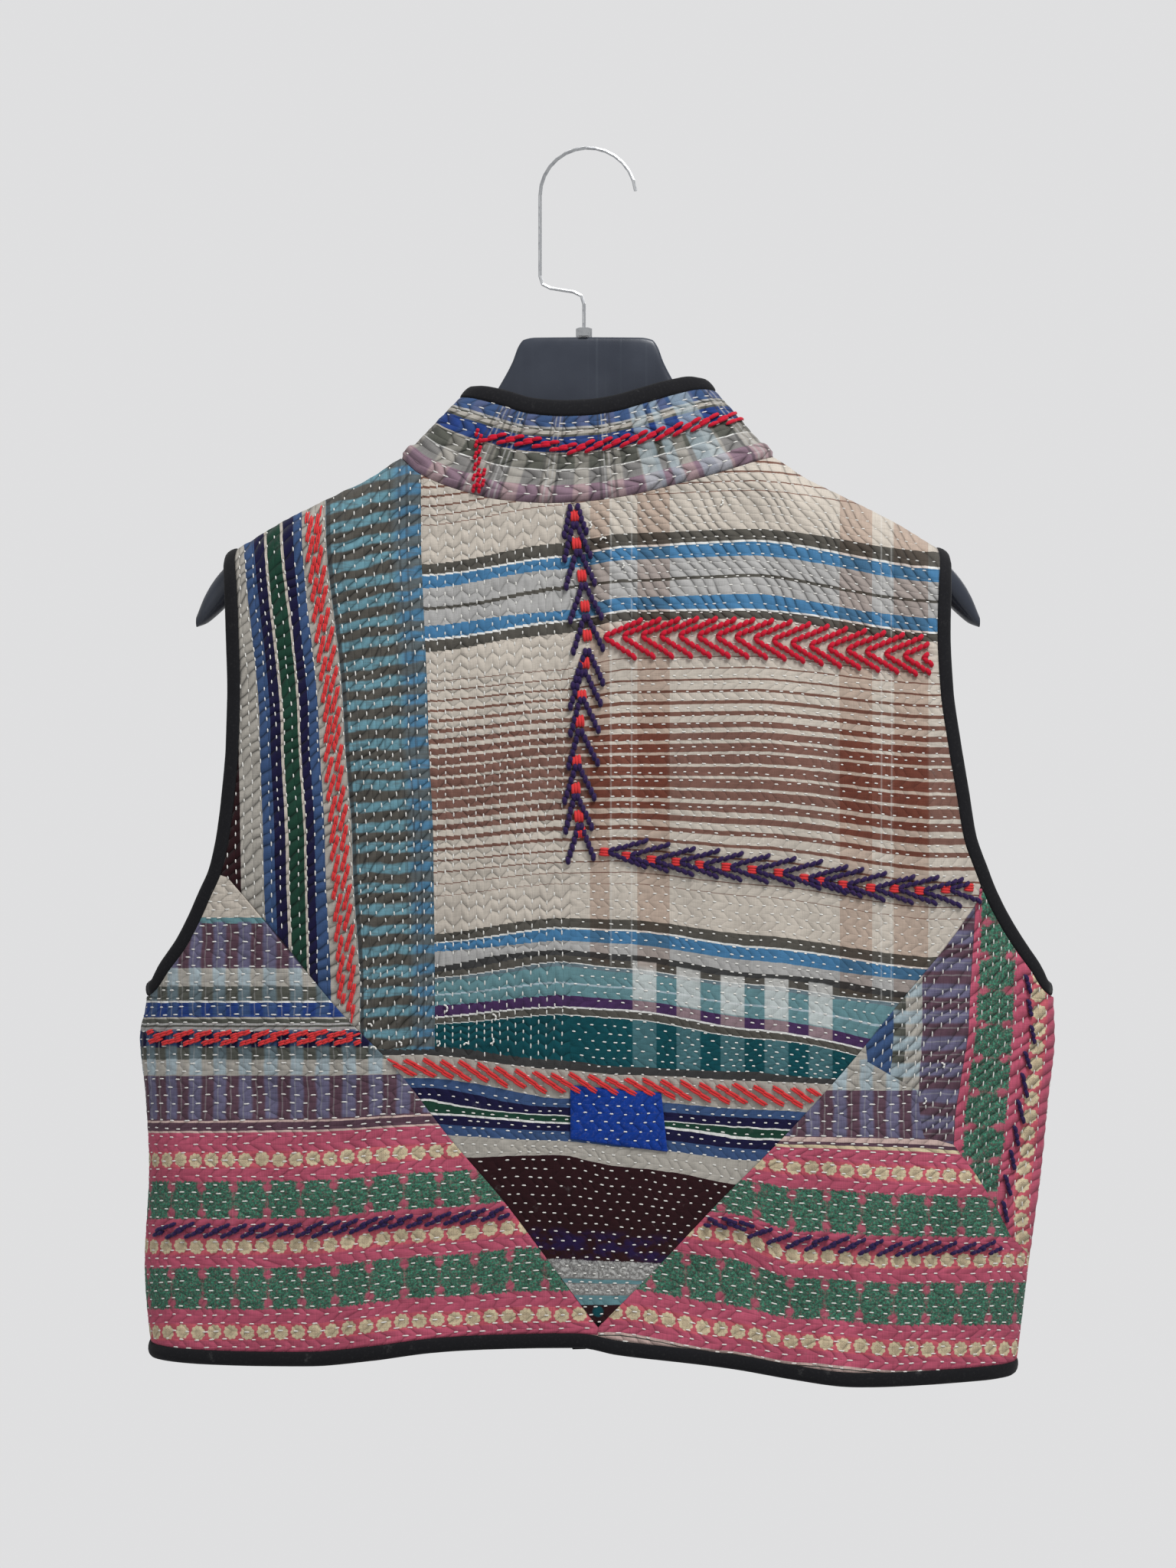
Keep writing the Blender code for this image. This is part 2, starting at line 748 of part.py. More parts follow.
def build_patch(look, collection):
    """The small patch, laid on the centre panel's ridges."""
    points = []
    for lift in (PATCH_LIFT, PATCH_LIFT + PATCH_WALL):
        for k in range(PATCH_ROWS + 1):
            down = k / PATCH_ROWS
            for j in range(PATCH_COLUMNS + 1):
                share = j / PATCH_COLUMNS
                top_x = PATCH_TOP[0].x + (PATCH_TOP[1].x - PATCH_TOP[0].x) * share
                top_z = PATCH_TOP[0].z + (PATCH_TOP[1].z - PATCH_TOP[0].z) * share
                low_x = PATCH_BOTTOM[0].x + (PATCH_BOTTOM[1].x - PATCH_BOTTOM[0].x) * share
                low_z = PATCH_BOTTOM[0].z + (PATCH_BOTTOM[1].z - PATCH_BOTTOM[0].z) * share
                x = top_x + (low_x - top_x) * down
                z = top_z + (low_z - top_z) * down
                points.append(surface(x, z, BACK) + outward(x, z, BACK) * lift)
    wide = PATCH_COLUMNS + 1
    layer = wide * (PATCH_ROWS + 1)
    faces = []
    for k in range(PATCH_ROWS):
        for j in range(PATCH_COLUMNS):
            low = k * wide + j
            quad = (low, low + 1, low + wide + 1, low + wide)
            faces.append(quad)
            faces.append(tuple(i + layer for i in quad))
    rim = [j for j in range(wide)] + [k * wide + PATCH_COLUMNS for k in range(1, PATCH_ROWS + 1)]
    rim += [PATCH_ROWS * wide + j for j in range(PATCH_COLUMNS - 1, -1, -1)]
    rim += [k * wide for k in range(PATCH_ROWS - 1, 0, -1)]
    for here, there in zip(rim, rim[1:] + rim[:1]):
        faces.append((here, there, there + layer, here + layer))
    return add_object("blue_patch", closed_mesh("blue_patch", points, faces), look, collection)


def build_hanger(look, collection):
    """Neck plate and arms, lofted through upright sections from tip to tip."""
    left = [rib._replace(out=-rib.out) for rib in reversed(HANGER[1:])]
    points = []
    for rib in left + HANGER:
        middle = (rib.top + rib.bottom) / 2
        half = (rib.top - rib.bottom) / 2
        for i in range(RIB_POINTS):
            turn = 2 * math.pi * (i + 0.5) / RIB_POINTS if rib.square > 3 else 2 * math.pi * i / RIB_POINTS
            side = math.copysign(abs(math.sin(turn)) ** (2 / rib.square), math.sin(turn))
            up = math.copysign(abs(math.cos(turn)) ** (2 / rib.square), math.cos(turn))
            x = rib.out
            points.append(Vector((x, lean(x, middle) + rib.deep * side, middle + half * up)))
    faces = []
    count = 2 * len(HANGER) - 1
    for i in range(count - 1):
        for j in range(RIB_POINTS):
            here = i * RIB_POINTS + j
            other = i * RIB_POINTS + (j + 1) % RIB_POINTS
            faces.append((here, other, other + RIB_POINTS, here + RIB_POINTS))
    faces.append(tuple(range(RIB_POINTS)))
    faces.append(tuple((count - 1) * RIB_POINTS + j for j in range(RIB_POINTS)))
    return add_object("hanger_body", closed_mesh("hanger_body", points, faces), look, collection)


def bend_points(before, corner, after):
    """A corner of the wire rounded into a short arc of three points."""
    arrive = corner + (before - corner).normalized() * BEND
    leave = corner + (after - corner).normalized() * BEND
    middle = (arrive + leave) / 4 + corner / 2
    return [arrive, middle, leave]


def build_hook(look, collection):
    """The wire: stem, shelf, shank and the round hook."""
    centre = Vector((0, 0, WIRE_RADIUS - HOOK_RADIUS))
    foot = Vector((STEM_X, 0, HANGER[0].top + SEAM_GAP))
    shelf_in = Vector((STEM_X, 0, SHELF - 1.0))
    shelf_out = Vector((-HOOK_RADIUS, 0, SHELF + 3.0))
    shank = Vector((-HOOK_RADIUS, 0, SHANK_TOP + 20))
    route = [foot]
    route += bend_points(foot, shelf_in, shelf_out)
    route += bend_points(shelf_in, shelf_out, shank)
    for i in range(HOOK_STEPS + 1):
        turn = math.radians(180 - (180 - HOOK_END_ANGLE) * i / HOOK_STEPS)
        route.append(centre + HOOK_RADIUS * Vector((math.cos(turn), 0, math.sin(turn))))
    curve = bpy.data.curves.new("hanger_hook", "CURVE")
    curve.dimensions = "3D"
    curve.bevel_depth = WIRE_RADIUS * MM
    curve.bevel_resolution = 2
    curve.use_fill_caps = True
    line = curve.splines.new("POLY")
    line.points.add(len(route) - 1)
    for point, place in zip(line.points, route):
        point.co = (*(place * MM), 1.0)
    return add_object("hanger_hook", curve, look, collection)


def build_nut(look, collection):
    """A six-sided nut round the wire, standing on the neck plate."""
    bottom = HANGER[0].top + SEAM_GAP
    profile = [(NUT_RADIUS, NUT_TOP), (NUT_RADIUS, bottom), (NUT_BORE, bottom), (NUT_BORE, NUT_TOP)]
    mesh = bpy.data.meshes.new("hanger_nut")
    corners = [Vector((out, 0, z)) * MM for out, z in profile]
    mesh.from_pydata(corners, [(0, 1), (1, 2), (2, 3), (3, 0)], [])
    nut = add_object("hanger_nut", mesh, look, collection)
    nut.location = (STEM_X * MM, 0, 0)
    screw = nut.modifiers.new("turn", "SCREW")
    screw.axis = "Z"
    screw.steps = NUT_SIDES
    screw.render_steps = NUT_SIDES
    screw.use_merge_vertices = True
    screw.merge_threshold = 0.00005
    return nut


def main():
    clear_scene()
    collection = bpy.data.collections.new("quilted_vest_on_hanger")
    bpy.context.scene.collection.children.link(collection)
    ink = material("black_binding", INK, 0.85)
    cream = material("striped_quilt", CREAM, 0.9)
    rose = material("rose_quilt", ROSE, 0.9)
    grey = material("grey_blue_quilt", GREY_BLUE, 0.9)
    blue = material("blue_cotton", BLUE, 0.9)
    moulded = material("black_moulding", HANGER_BLACK, 0.35)
    steel = material("plated_wire", STEEL, 0.25, 1.0)

    ribs = collar_ribs()
    normals = rib_normals(ribs)
    mitres = neck_mitres(ribs, normals)
    front_count = FRONT_NECK_STEPS + 1

    back_places = list(reversed(shoulder_places(-1)))[:-1]
    back_places += [NECK_HALF * across for across in neck_turns()] + shoulder_places(1)[1:]
    centre_levels = [level for level in LEVELS if level >= TIP_ROW]
    centre_rows = panel(centre_levels, centre_turn(-1), centre_turn(1), BACK,
                        as_shares(back_places, BACK), back_places)
    back_mitres = {SHOULDER_STEPS + i: mitres[front_count - 1 + i] for i in range(NECK_STEPS + 1)}
    cloth_panel("back_centre", centre_rows, cream, collection, back_mitres)

    steps = [i / PANEL_STEPS for i in range(PANEL_STEPS + 1)]
    plain = [0.0] * len(steps)
    left_levels = [level for level in LEVELS if level <= SEAM_START[-1]]
    left_rows = panel(left_levels, side_turn(-1, BACK), seam_turn(-1, -SEAM_GAP / 2), BACK, steps, plain)
    cloth_panel("back_lower_left", left_rows, rose, collection)
    right_levels = [level for level in LEVELS if level <= SEAM_START[1]]
    right_rows = panel(right_levels, seam_turn(1, SEAM_GAP / 2), side_turn(1, BACK), BACK, steps, plain)
    cloth_panel("back_lower_right", right_rows, rose, collection)

    fronts = {}
    for side, name in ((-1, "front_left"), (1, "front_right")):
        places = list(reversed(shoulder_places(side)))[:-1] + front_neck_places(side)
        neck_mitres_here = mitres[:front_count][::-1] if side < 0 else mitres[-front_count:]
        front_mitres = {SHOULDER_STEPS + i: neck_mitres_here[i] for i in range(front_count)}
        shares = as_shares(places, FRONT)
        fronts[side] = panel(LEVELS, side_turn(side, FRONT), front_turn(side), FRONT, shares, places)
        cloth_panel(name, fronts[side], grey, collection, front_mitres)

    build_collar(ribs, normals, mitres, grey, ink, collection)
    build_armhole(-1, "armhole_binding_left", ink, collection)
    build_armhole(1, "armhole_binding_right", ink, collection)
    edges = [list(zip(reversed(fronts[-1][-2]), reversed(fronts[-1][-1]))),
             list(zip(left_rows[-2], left_rows[-1])),
             list(zip(right_rows[-2], right_rows[-1])),
             list(zip(fronts[1][-2], fronts[1][-1]))]
    build_hem(edges, ink, collection)
    build_front_binding(-1, "front_binding_left", fronts[-1], ribs[0], normals[0], ink, collection)
    build_front_binding(1, "front_binding_right", fronts[1], ribs[-1], normals[-1], ink, collection)
    build_patch(blue, collection)
    build_hanger(moulded, collection)
    build_hook(steel, collection)
    build_nut(steel, collection)


main()
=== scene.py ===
"""Looks of the quilted kantha vest on its hanger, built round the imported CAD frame.

The back of the vest faces -Y. Forms are worked out in millimetres from the inside top of the hook
and become meshes in metres. Cloth is laid out on a chart, which is the vest seen square on from
1.35 m behind, with x to the right and y down, both in chart steps of 0.436 mm at the vest's seams.
"""
import logging
import math
from dataclasses import dataclass, field
from enum import Enum
from typing import Callable, Sequence

import bpy
import numpy as np
from mathutils import Matrix, Vector


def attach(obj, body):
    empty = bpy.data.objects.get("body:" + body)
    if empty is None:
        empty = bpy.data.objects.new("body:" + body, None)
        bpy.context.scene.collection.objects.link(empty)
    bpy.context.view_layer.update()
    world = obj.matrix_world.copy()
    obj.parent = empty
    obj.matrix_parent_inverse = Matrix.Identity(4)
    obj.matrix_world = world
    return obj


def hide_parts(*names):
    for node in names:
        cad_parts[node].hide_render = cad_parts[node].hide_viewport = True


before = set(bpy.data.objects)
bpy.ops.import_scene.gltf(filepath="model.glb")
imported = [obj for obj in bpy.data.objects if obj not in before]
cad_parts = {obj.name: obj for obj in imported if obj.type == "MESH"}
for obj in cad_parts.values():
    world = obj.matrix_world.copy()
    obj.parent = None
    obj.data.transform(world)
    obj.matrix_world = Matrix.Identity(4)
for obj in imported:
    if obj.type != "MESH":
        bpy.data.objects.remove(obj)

LOG = logging.getLogger("vest")
MM = 0.001
BACK = -1
FRONT = 1
Array = np.ndarray
Socket = bpy.types.NodeSocket


# Form of the body


def smooth(t: Array | float) -> Array:
    """Eases from 0 to 1 as t goes from 0 to 1."""
    t = np.clip(t, 0.0, 1.0)
    return t * t * (3 - 2 * t)


def unit(vectors: Array) -> Array:
    """Vectors of length one."""
    return vectors / np.maximum(np.linalg.norm(vectors, axis=-1, keepdims=True), 1e-9)


class Curve:
    """A smooth curve through a short table, without overshoot."""

    def __init__(self, rows: Sequence[Sequence[float]], value: int = 1) -> None:
        """Takes the first column as keys and one other column as values."""
        table = np.array(sorted(rows), float)
        self.keys, self.values = table[:, 0], table[:, value]
        rise = np.diff(self.values) / np.diff(self.keys)
        before, after = rise[:-1], rise[1:]
        turns = before * after <= 0
        total = np.where(turns, 1.0, before + after)
        inner = np.where(turns, 0.0, 2 * before * after / total)
        self.slopes = np.concatenate((rise[:1], inner, rise[-1:]))

    def __call__(self, place: Array | float) -> Array:
        """Reads the curve at one place or at many."""
        place = np.clip(np.asarray(place, float), self.keys[0], self.keys[-1])
        i = np.clip(np.searchsorted(self.keys, place, side="right"), 1, len(self.keys) - 1) - 1
        span = self.keys[i + 1] - self.keys[i]
        t = (place - self.keys[i]) / span
        start = (1 + 2 * t) * (1 - t) ** 2 * self.values[i] + t * (1 - t) ** 2 * span * self.slopes[i]
        end = t * t * (3 - 2 * t) * self.values[i + 1] + t * t * (t - 1) * span * self.slopes[i + 1]
        return start + end


# out from the middle, height of the shoulder line
SHOULDERS = (
    (0, -138), (60, -158), (106, -175.5), (124, -187), (142, -195.5), (178, -213), (194, -222.5),
    (212, -232),
)
# height, half width left and right, depth of the back and of the fronts
GIRTHS = (
    (-176, 250.0, 262.0, 26, 24), (-232, 250.0, 262.0, 32, 29), (-300, 250.0, 262.0, 40, 34),
    (-400, 250.0, 263.0, 47, 39), (-486, 252.5, 266.0, 48, 40), (-505, 256.0, 266.5, 48, 40),
    (-540, 252.5, 262.7, 47, 40), (-580, 250.5, 258.7, 47, 40), (-635, 253.0, 251.5, 46, 39),
    (-700, 247.5, 243.5, 45, 38),
)
# height, armhole edge left and right, how much further in the fronts are cut
ARMHOLES = (
    (-232, 201.0, 200.0, 0), (-250, 198.2, 197.7, 2), (-280, 196.5, 196.5, 6), (-310, 195.3, 197.8, 9),
    (-340, 195.7, 201.8, 10), (-368, 197.8, 206.3, 10), (-392, 200.8, 210.2, 9), (-412, 205.5, 217.5, 8),
    (-424, 211.0, 222.3, 7), (-440, 218.5, 230.8, 5), (-454, 226.4, 240.0, 3), (-467, 236.5, 250.0, 1),
    (-478, 244.5, 257.8, 0), (-482, 250.0, 263.3, 0), (-483, 252.4, 265.9, 0),
)
# height, x of the left and of the right diagonal seam
DIAGONALS = (
    (-411, -204.0, 219.4), (-423, -192.7, 219.0), (-440, -176.6, 208.5), (-484, -139.8, 171.5),
    (-519, -105.3, 142.0), (-557, -75.8, 107.0), (-591, -46.7, 73.0), (-627, -19.4, 38.3), (-659, 4.6, 6.4),
)
# x, height of the back's lower edge
BACK_HEM = (
    (-250, -678.5), (-200, -678), (-155, -676), (-120, -671.5), (-85, -667), (-45, -665), (-4, -663.5),
    (15, -667), (47, -671.5), (80, -676.5), (114, -682.5), (148, -687), (200, -688.5), (250, -689),
)
# across the neck, height of the seam and of the collar's edge
NECKLINE = (
    (-1.0, -176.5, -134.5), (-0.9, -187.0, -135.5), (-0.7, -196.5, -139.0), (-0.45, -203.0, -144.0),
    (-0.2, -204.8, -145.3), (0.0, -203.8, -144.8), (0.2, -200.8, -142.8), (0.45, -194.5, -138.0),
    (0.7, -187.0, -133.0), (0.9, -179.5, -130.3), (1.0, -175.5, -130.5),
)
# soft creases: x and height of both ends, width, depth (a ridge where it is negative), face
CREASES = (
    (-150, -250, -120, -420, 15, 1.5, BACK), (-176, -330, -168, -480, 12, -1.2, BACK),
    (-60, -225, -85, -330, 16, 1.2, BACK), (40, -225, 92, -300, 18, -1.3, BACK),
    (150, -245, 120, -360, 14, 1.4, BACK), (172, -300, 196, -430, 13, -1.3, BACK),
    (20, -330, 60, -470, 22, 1.1, BACK), (-20, -470, 40, -600, 20, -1.2, BACK),
    (-230, -500, -150, -560, 12, 1.6, BACK), (-215, -560, -175, -670, 15, -1.5, BACK),
    (-120, -600, -95, -672, 14, 1.4, BACK), (120, -560, 145, -680, 16, 1.5, BACK),
    (240, -500, 178, -545, 12, 1.7, BACK), (205, -570, 215, -680, 13, -1.6, BACK),
    (-160, -240, -90, -430, 17, 1.8, FRONT), (-60, -300, -110, -520, 18, -1.5, FRONT),
    (-190, -520, -140, -670, 16, 1.9, FRONT), (155, -245, 100, -400, 15, 1.9, FRONT),
    (62, -310, 96, -500, 19, -1.6, FRONT), (205, -510, 150, -660, 17, 1.7, FRONT),
    (40, -540, 60, -680, 15, 1.3, FRONT),
)


@dataclass(frozen=True)
class Body:
    """The rounded hollow form that all the cloth lies on, the same as in the CAD source."""

    squareness: float = 2.6
    crown: float = 26.0
    forward_tips: float = 15.0
    neck_half: float = 106.0
    underarm: float = -483.0
    row_top: float = -205.0
    row_hem: float = -675.0
    top_ease: float = 110.0
    hem_ease: float = 120.0
    neck_front: float = -240.0
    front_edge: float = 9.3
    armhole_top: float = -232.0
    seam_start: tuple[float, float] = (-412.5, -420.0)
    seam_tip: float = -659.0
    tip_row: float = -667.5
    point: float = 5.5
    wall: float = 2.2
    seam_gap: float = 0.3
    chest: tuple[float, float] = (250.0, 262.0)
    front_hem: float = -678.5
    front_hem_drop: float = 10.5
    tip_reach: float = 211.0
    lean_fade: float = 0.65
    lean_drop: float = 400.0
    wave_depth: float = 2.5
    wave_top: float = -440.0
    wave_drop: float = 220.0
    wave_length: float = 135.0
    wave_shift: float = 20.0
    edge_rounds: int = 12
    row_rounds: int = 5
    crease_bend: float = 4.0
    crease_turns: float = 2.2
    crease_end: float = 0.15
    crease_fade: float = 0.35
    shoulder: Curve = Curve(SHOULDERS)
    left: Curve = Curve(GIRTHS, 1)
    right: Curve = Curve(GIRTHS, 2)
    back_hem: Curve = Curve(BACK_HEM)
    neck_seam: Curve = Curve(NECKLINE, 1)
    neck_edge: Curve = Curve(NECKLINE, 2)
    inset: Curve = Curve(ARMHOLES, 3)

    def depth(self, z: Array, face: int) -> Array:
        """Depth of the body on one face at a height."""
        return DEPTHS[face](z)

    def half(self, x: Array, z: Array) -> Array:
        """Half width at a height, on the side that x is on."""
        return np.where(x < 0, self.left(z), self.right(z))

    def lean(self, x: Array, z: Array) -> Array:
        """How far the sides come forward, most at the hanger's tips."""
        hang = 1.0 - self.lean_fade * smooth((self.shoulder(self.neck_half) - z) / self.lean_drop)
        return self.forward_tips * np.minimum(np.abs(x) / self.tip_reach, 1.2) ** 2 * hang

    def wave(self, x: Array, z: Array) -> Array:
        """Soft upright folds that grow towards the hem."""
        grown = self.wave_depth * smooth((self.wave_top - z) / self.wave_drop)
        return grown * np.sin(2 * math.pi * (x + self.wave_shift) / self.wave_length)

    def bulge(self, x: Array, z: Array, face: int) -> Array:
        """Distance of the cloth's outside from the seam between back and fronts."""
        fall = np.clip(self.shoulder(np.abs(x)) - z, 0.0, self.crown)
        crown = np.sqrt(1 - (1 - fall / self.crown) ** 2)
        reach = np.minimum(np.abs(x) / self.half(x, z), 1.0)
        rounding = np.maximum(1 - reach**self.squareness, 0.0) ** (1 / self.squareness)
        return (self.depth(z, face) * crown + self.wave(x, z)) * rounding

    def surface(self, x: Array, z: Array, face: int) -> Array:
        """Points on the outside of the back or of the fronts."""
        x, z = np.broadcast_arrays(np.asarray(x, float), np.asarray(z, float))
        return np.stack((x, self.lean(x, z) + face * (self.seam_gap / 2 + self.bulge(x, z, face)), z), -1)

    def outward(self, x: Array, z: Array, face: int) -> Array:
        """Direction out of the cloth."""
        x, z = np.broadcast_arrays(np.asarray(x, float), np.asarray(z, float))
        fall = np.clip(self.shoulder(np.abs(x)) - z, 0.02, self.crown)
        crown = np.sqrt(1 - (1 - fall / self.crown) ** 2)
        crown_slope = (1 - fall / self.crown) / self.crown / crown
        half = self.half(x, z)
        reach = np.minimum(np.abs(x) / half, 1 - 1e-6)
        rest = 1 - reach**self.squareness
        rounding = rest ** (1 / self.squareness)
        side = np.where(x < 0, -1.0, 1.0)
        round_slope = -(reach ** (self.squareness - 1)) * rest ** (1 / self.squareness - 1) * side / half
        shoulder_slope = side * (self.shoulder(np.abs(x) + 0.5) - self.shoulder(np.abs(x) - 0.5))
        deep = self.depth(z, face)
        widening = (self.half(x, z + 1) - self.half(x, z - 1)) / 2 * side
        wave_x = self.wave(x + 0.5, z) - self.wave(x - 0.5, z)
        along_x = deep * (crown_slope * shoulder_slope * rounding + crown * round_slope) + wave_x * rounding
        widened = deep * crown * round_slope * widening * np.abs(x) / half * side
        along_z = -deep * crown_slope * rounding - widened
        lean_x = self.lean(x + 0.5, z) - self.lean(x - 0.5, z)
        return unit(np.stack((-along_x - face * lean_x, np.full_like(x, face), -along_z), -1))

    def top_line(self, x: Array, face: int) -> Array:
        """Height of the shoulder seam, or of the neckline between the shoulders."""
        across = np.clip(x / self.neck_half, -1, 1)
        seam = self.neck_seam(across)
        if face == FRONT:
            side = self.neck_seam(np.where(across < 0, -1.0, 1.0))
            seam = side + (self.neck_front - side) * (1 - across * across)
        return np.where(np.abs(x) >= self.neck_half, self.shoulder(np.abs(x)), seam)

    def hem_line(self, x: Array, face: int) -> Array:
        """Height of the panels' lower edge."""
        if face == BACK:
            return self.back_hem(x)
        return self.front_hem - self.front_hem_drop * np.clip((x / self.chest[0] + 1) / 2, 0, 1)

    def height(self, level: Array, x: Array, face: int, top_x: Array) -> Array:
        """Height of a row: level in the middle, following the shoulders above and the hem below."""
        top_share = 1 - smooth((self.row_top - level) / self.top_ease)
        hem_share = smooth((self.row_hem + self.hem_ease - level) / self.hem_ease)
        rise = top_share * (self.top_line(top_x, face) - self.row_top)
        return level + rise + hem_share * (self.hem_line(x, face) - self.row_hem)

    def turn_of(self, x: Array, z: Array) -> Array:
        """Angle round the body at which a row reaches x."""
        return np.arcsin(np.clip(x / self.half(x, z), -1.0, 1.0))

    def reach(self, turn: Array, z: Array) -> Array:
        """The x that an angle round the body reaches at a height."""
        return np.sin(turn) * np.where(turn < 0, self.left(z), self.right(z))

    def tip(self, side: int) -> float:
        """The x where an armhole starts at the shoulder."""
        return side * float(HOLES[side](self.armhole_top))

    def crossing(self, edge: Callable[[Array], Array], level: Array, face: int, top_x: float) -> Array:
        """Turn angle at which rows meet an edge given as x over height."""
        z = level.copy()
        for _ in range(self.edge_rounds):
            x = edge(z)
            z = self.height(level, x, face, np.full_like(x, top_x))
        return self.turn_of(x, z)

    def armhole_edge(self, side: int, face: int) -> Callable[[Array], Array]:
        """The armhole edge as x over height."""
        inset = 1.0 if face == FRONT else 0.0
        return lambda z: side * (HOLES[side](z) - inset * self.inset(z))

    def side_turn(self, side: int, face: int, level: Array) -> Array:
        """A panel's outer edge: the armhole, and below it the side seam."""
        above = self.crossing(self.armhole_edge(side, face), level, face, self.tip(side))
        return np.where(level <= self.underarm, side * math.pi / 2, above)

    def seam_turn(self, side: int, level: Array) -> Array:
        """The diagonal seam, and below its tip the short upright seam."""
        seam = SEAMS[side]
        return self.crossing(lambda z: np.where(z >= self.seam_tip, seam(z), self.point), level, BACK, 0.0)

    def front_turn(self, side: int, level: Array) -> Array:
        """The front edge."""
        reach = side * self.front_edge
        return self.crossing(lambda z: np.full_like(z, reach), level, FRONT, reach)

    def levels(self, top: float, bottom: float, step: float) -> Array:
        """Rows from top to bottom, evenly spaced along the cloth where it rounds over the shoulders."""
        start = min(top, self.row_top)
        rows = []
        if top >= self.row_top:
            count = max(int(self.crown * 1.5 / step), 4)
            turns = [0.5 * math.pi * i / count for i in range(count)]
            rows = [self.row_top - self.crown * (1 - math.cos(turn)) for turn in turns]
            start = self.row_top - self.crown
        count = max(int(round((start - bottom) / step)), 2)
        count += -(count + len(rows)) % 3
        return np.array(rows + [start + (bottom - start) * i / count for i in range(count + 1)])

    def lay(
        self, face: int, level: Array, start: Array, end: Array, columns: int, tips: tuple[float, float]
    ) -> Array:
        """Rows of places (x, z) between two edges given as turn angles.

        Args:
            tips: x of the top row's two ends, which the rows follow near the shoulders.
        """
        share = np.linspace(0, 1, columns + 1)
        turn = start[:, None] + (end - start)[:, None] * share[None, :]
        first, last = (float(self.turn_of(np.array(x), np.array(self.row_top))) for x in tips)
        top_turn = first + (last - first) * share
        top_x = (np.sin(top_turn) * np.where(top_turn < 0, *self.chest))[None, :] + 0 * turn
        row = level[:, None] + 0 * turn
        z = row
        for _ in range(self.row_rounds):
            x = self.reach(turn, z)
            z = self.height(row, x, face, top_x)
        return np.stack((x, z), -1)

    def crease(self, x: Array, z: Array, face: int) -> Array:
        """Depth of the soft creases at places on one face."""
        total = np.zeros_like(x)
        for x0, z0, x1, z1, width, deep, where in CREASES:
            if where != face:
                continue
            along = np.array([x1 - x0, z1 - z0], float)
            length = float(np.hypot(*along))
            t = ((x - x0) * along[0] + (z - z0) * along[1]) / length**2
            off = ((x - x0) * along[1] - (z - z0) * along[0]) / length
            bend = self.crease_bend * np.sin(self.crease_turns * t * math.pi + x0)
            first, last = t + self.crease_end, 1 + self.crease_end - t
            ends = smooth(first / self.crease_fade) * smooth(last / self.crease_fade)
            total += deep * ends * np.exp(-(((off + bend) / width) ** 2))
        return total


DEPTHS = {BACK: Curve(GIRTHS, 3), FRONT: Curve(GIRTHS, 4)}
HOLES = {-1: Curve(ARMHOLES, 1), 1: Curve(ARMHOLES, 2)}
SEAMS = {-1: Curve(DIAGONALS, 1), 1: Curve(DIAGONALS, 2)}
BODY = Body()


@dataclass(frozen=True)
class Chart:
    """The vest as seen from 1.35 m behind, in chart steps."""

    distance: float = 1350.0
    eye: float = -361.4
    step: float = 0.43615
    middle: tuple[float, float] = (768.0, 1024.0)
    cloth: float = -45.0
    rounds: int = 6

    def of(self, points: Array, face: int = BACK) -> Array:
        """Chart places of points; the fronts are charted as if seen from the front."""
        size = self.distance / (self.distance - face * points[..., 1]) / self.step
        across = self.middle[0] - face * points[..., 0] * size
        return np.stack((across, self.middle[1] - (points[..., 2] - self.eye) * size), -1)

    def place(self, places: Array) -> tuple[Array, Array]:
        """Points and outward directions on the back at chart places."""
        places = np.asarray(places, float)
        y = np.full(places.shape[:-1], self.cloth)
        for _ in range(self.rounds):
            size = self.step * (self.distance + y) / self.distance
            x = (places[..., 0] - self.middle[0]) * size
            z = self.eye - (places[..., 1] - self.middle[1]) * size
            point = BODY.surface(x, z, BACK)
            y = point[..., 1]
        out = BODY.outward(x, z, BACK)
        return point - out * BODY.crease(x, z, BACK)[..., None], out


CHART = Chart()


class Warp:
    """Straightens bands that run unevenly: reads the band coordinate at chart places."""

    def __init__(self, stations: Sequence[float], bands: Sequence[Sequence[float]]) -> None:
        """Takes where the bands were charted and, for each band edge, its name and its place there."""
        self.stations = np.array(stations, float)
        table = np.array(bands, float)
        self.names, self.places = table[:, 0], table[:, 1:]

    def read(self, along: Array, across: Array) -> Array:
        """Band coordinate at places along and across the bands."""
        columns = []
        for k in range(len(self.stations)):
            marks = self.places[:, k]
            low = self.names[0] + (across - marks[0])
            high = self.names[-1] + (across - marks[-1])
            inside = np.interp(across, marks, self.names)
            columns.append(np.where(across < marks[0], low, np.where(across > marks[-1], high, inside)))
        return self._between(along, np.stack(columns))

    def find(self, along: Array, name: Array | float) -> Array:
        """Where across the bands a band coordinate lies, at places along them."""
        along, name = np.broadcast_arrays(np.asarray(along, float), np.asarray(name, float))
        found = [np.interp(name, self.names, self.places[:, k]) for k in range(len(self.stations))]
        return self._between(along, np.stack(found))

    def _between(self, along: Array, columns: Array) -> Array:
        """Reads values given at each station at places along the bands, easing a little at the stations."""
        spot = np.interp(along, self.stations, np.arange(len(self.stations)))
        first = np.minimum(spot.astype(int), len(self.stations) - 2)
        share = spot - first
        share = share * (0.4 + share * (1.8 - 1.2 * share))
        before = np.take_along_axis(columns, first[None], 0)[0]
        after = np.take_along_axis(columns, first[None] + 1, 0)[0]
        return before + (after - before) * share


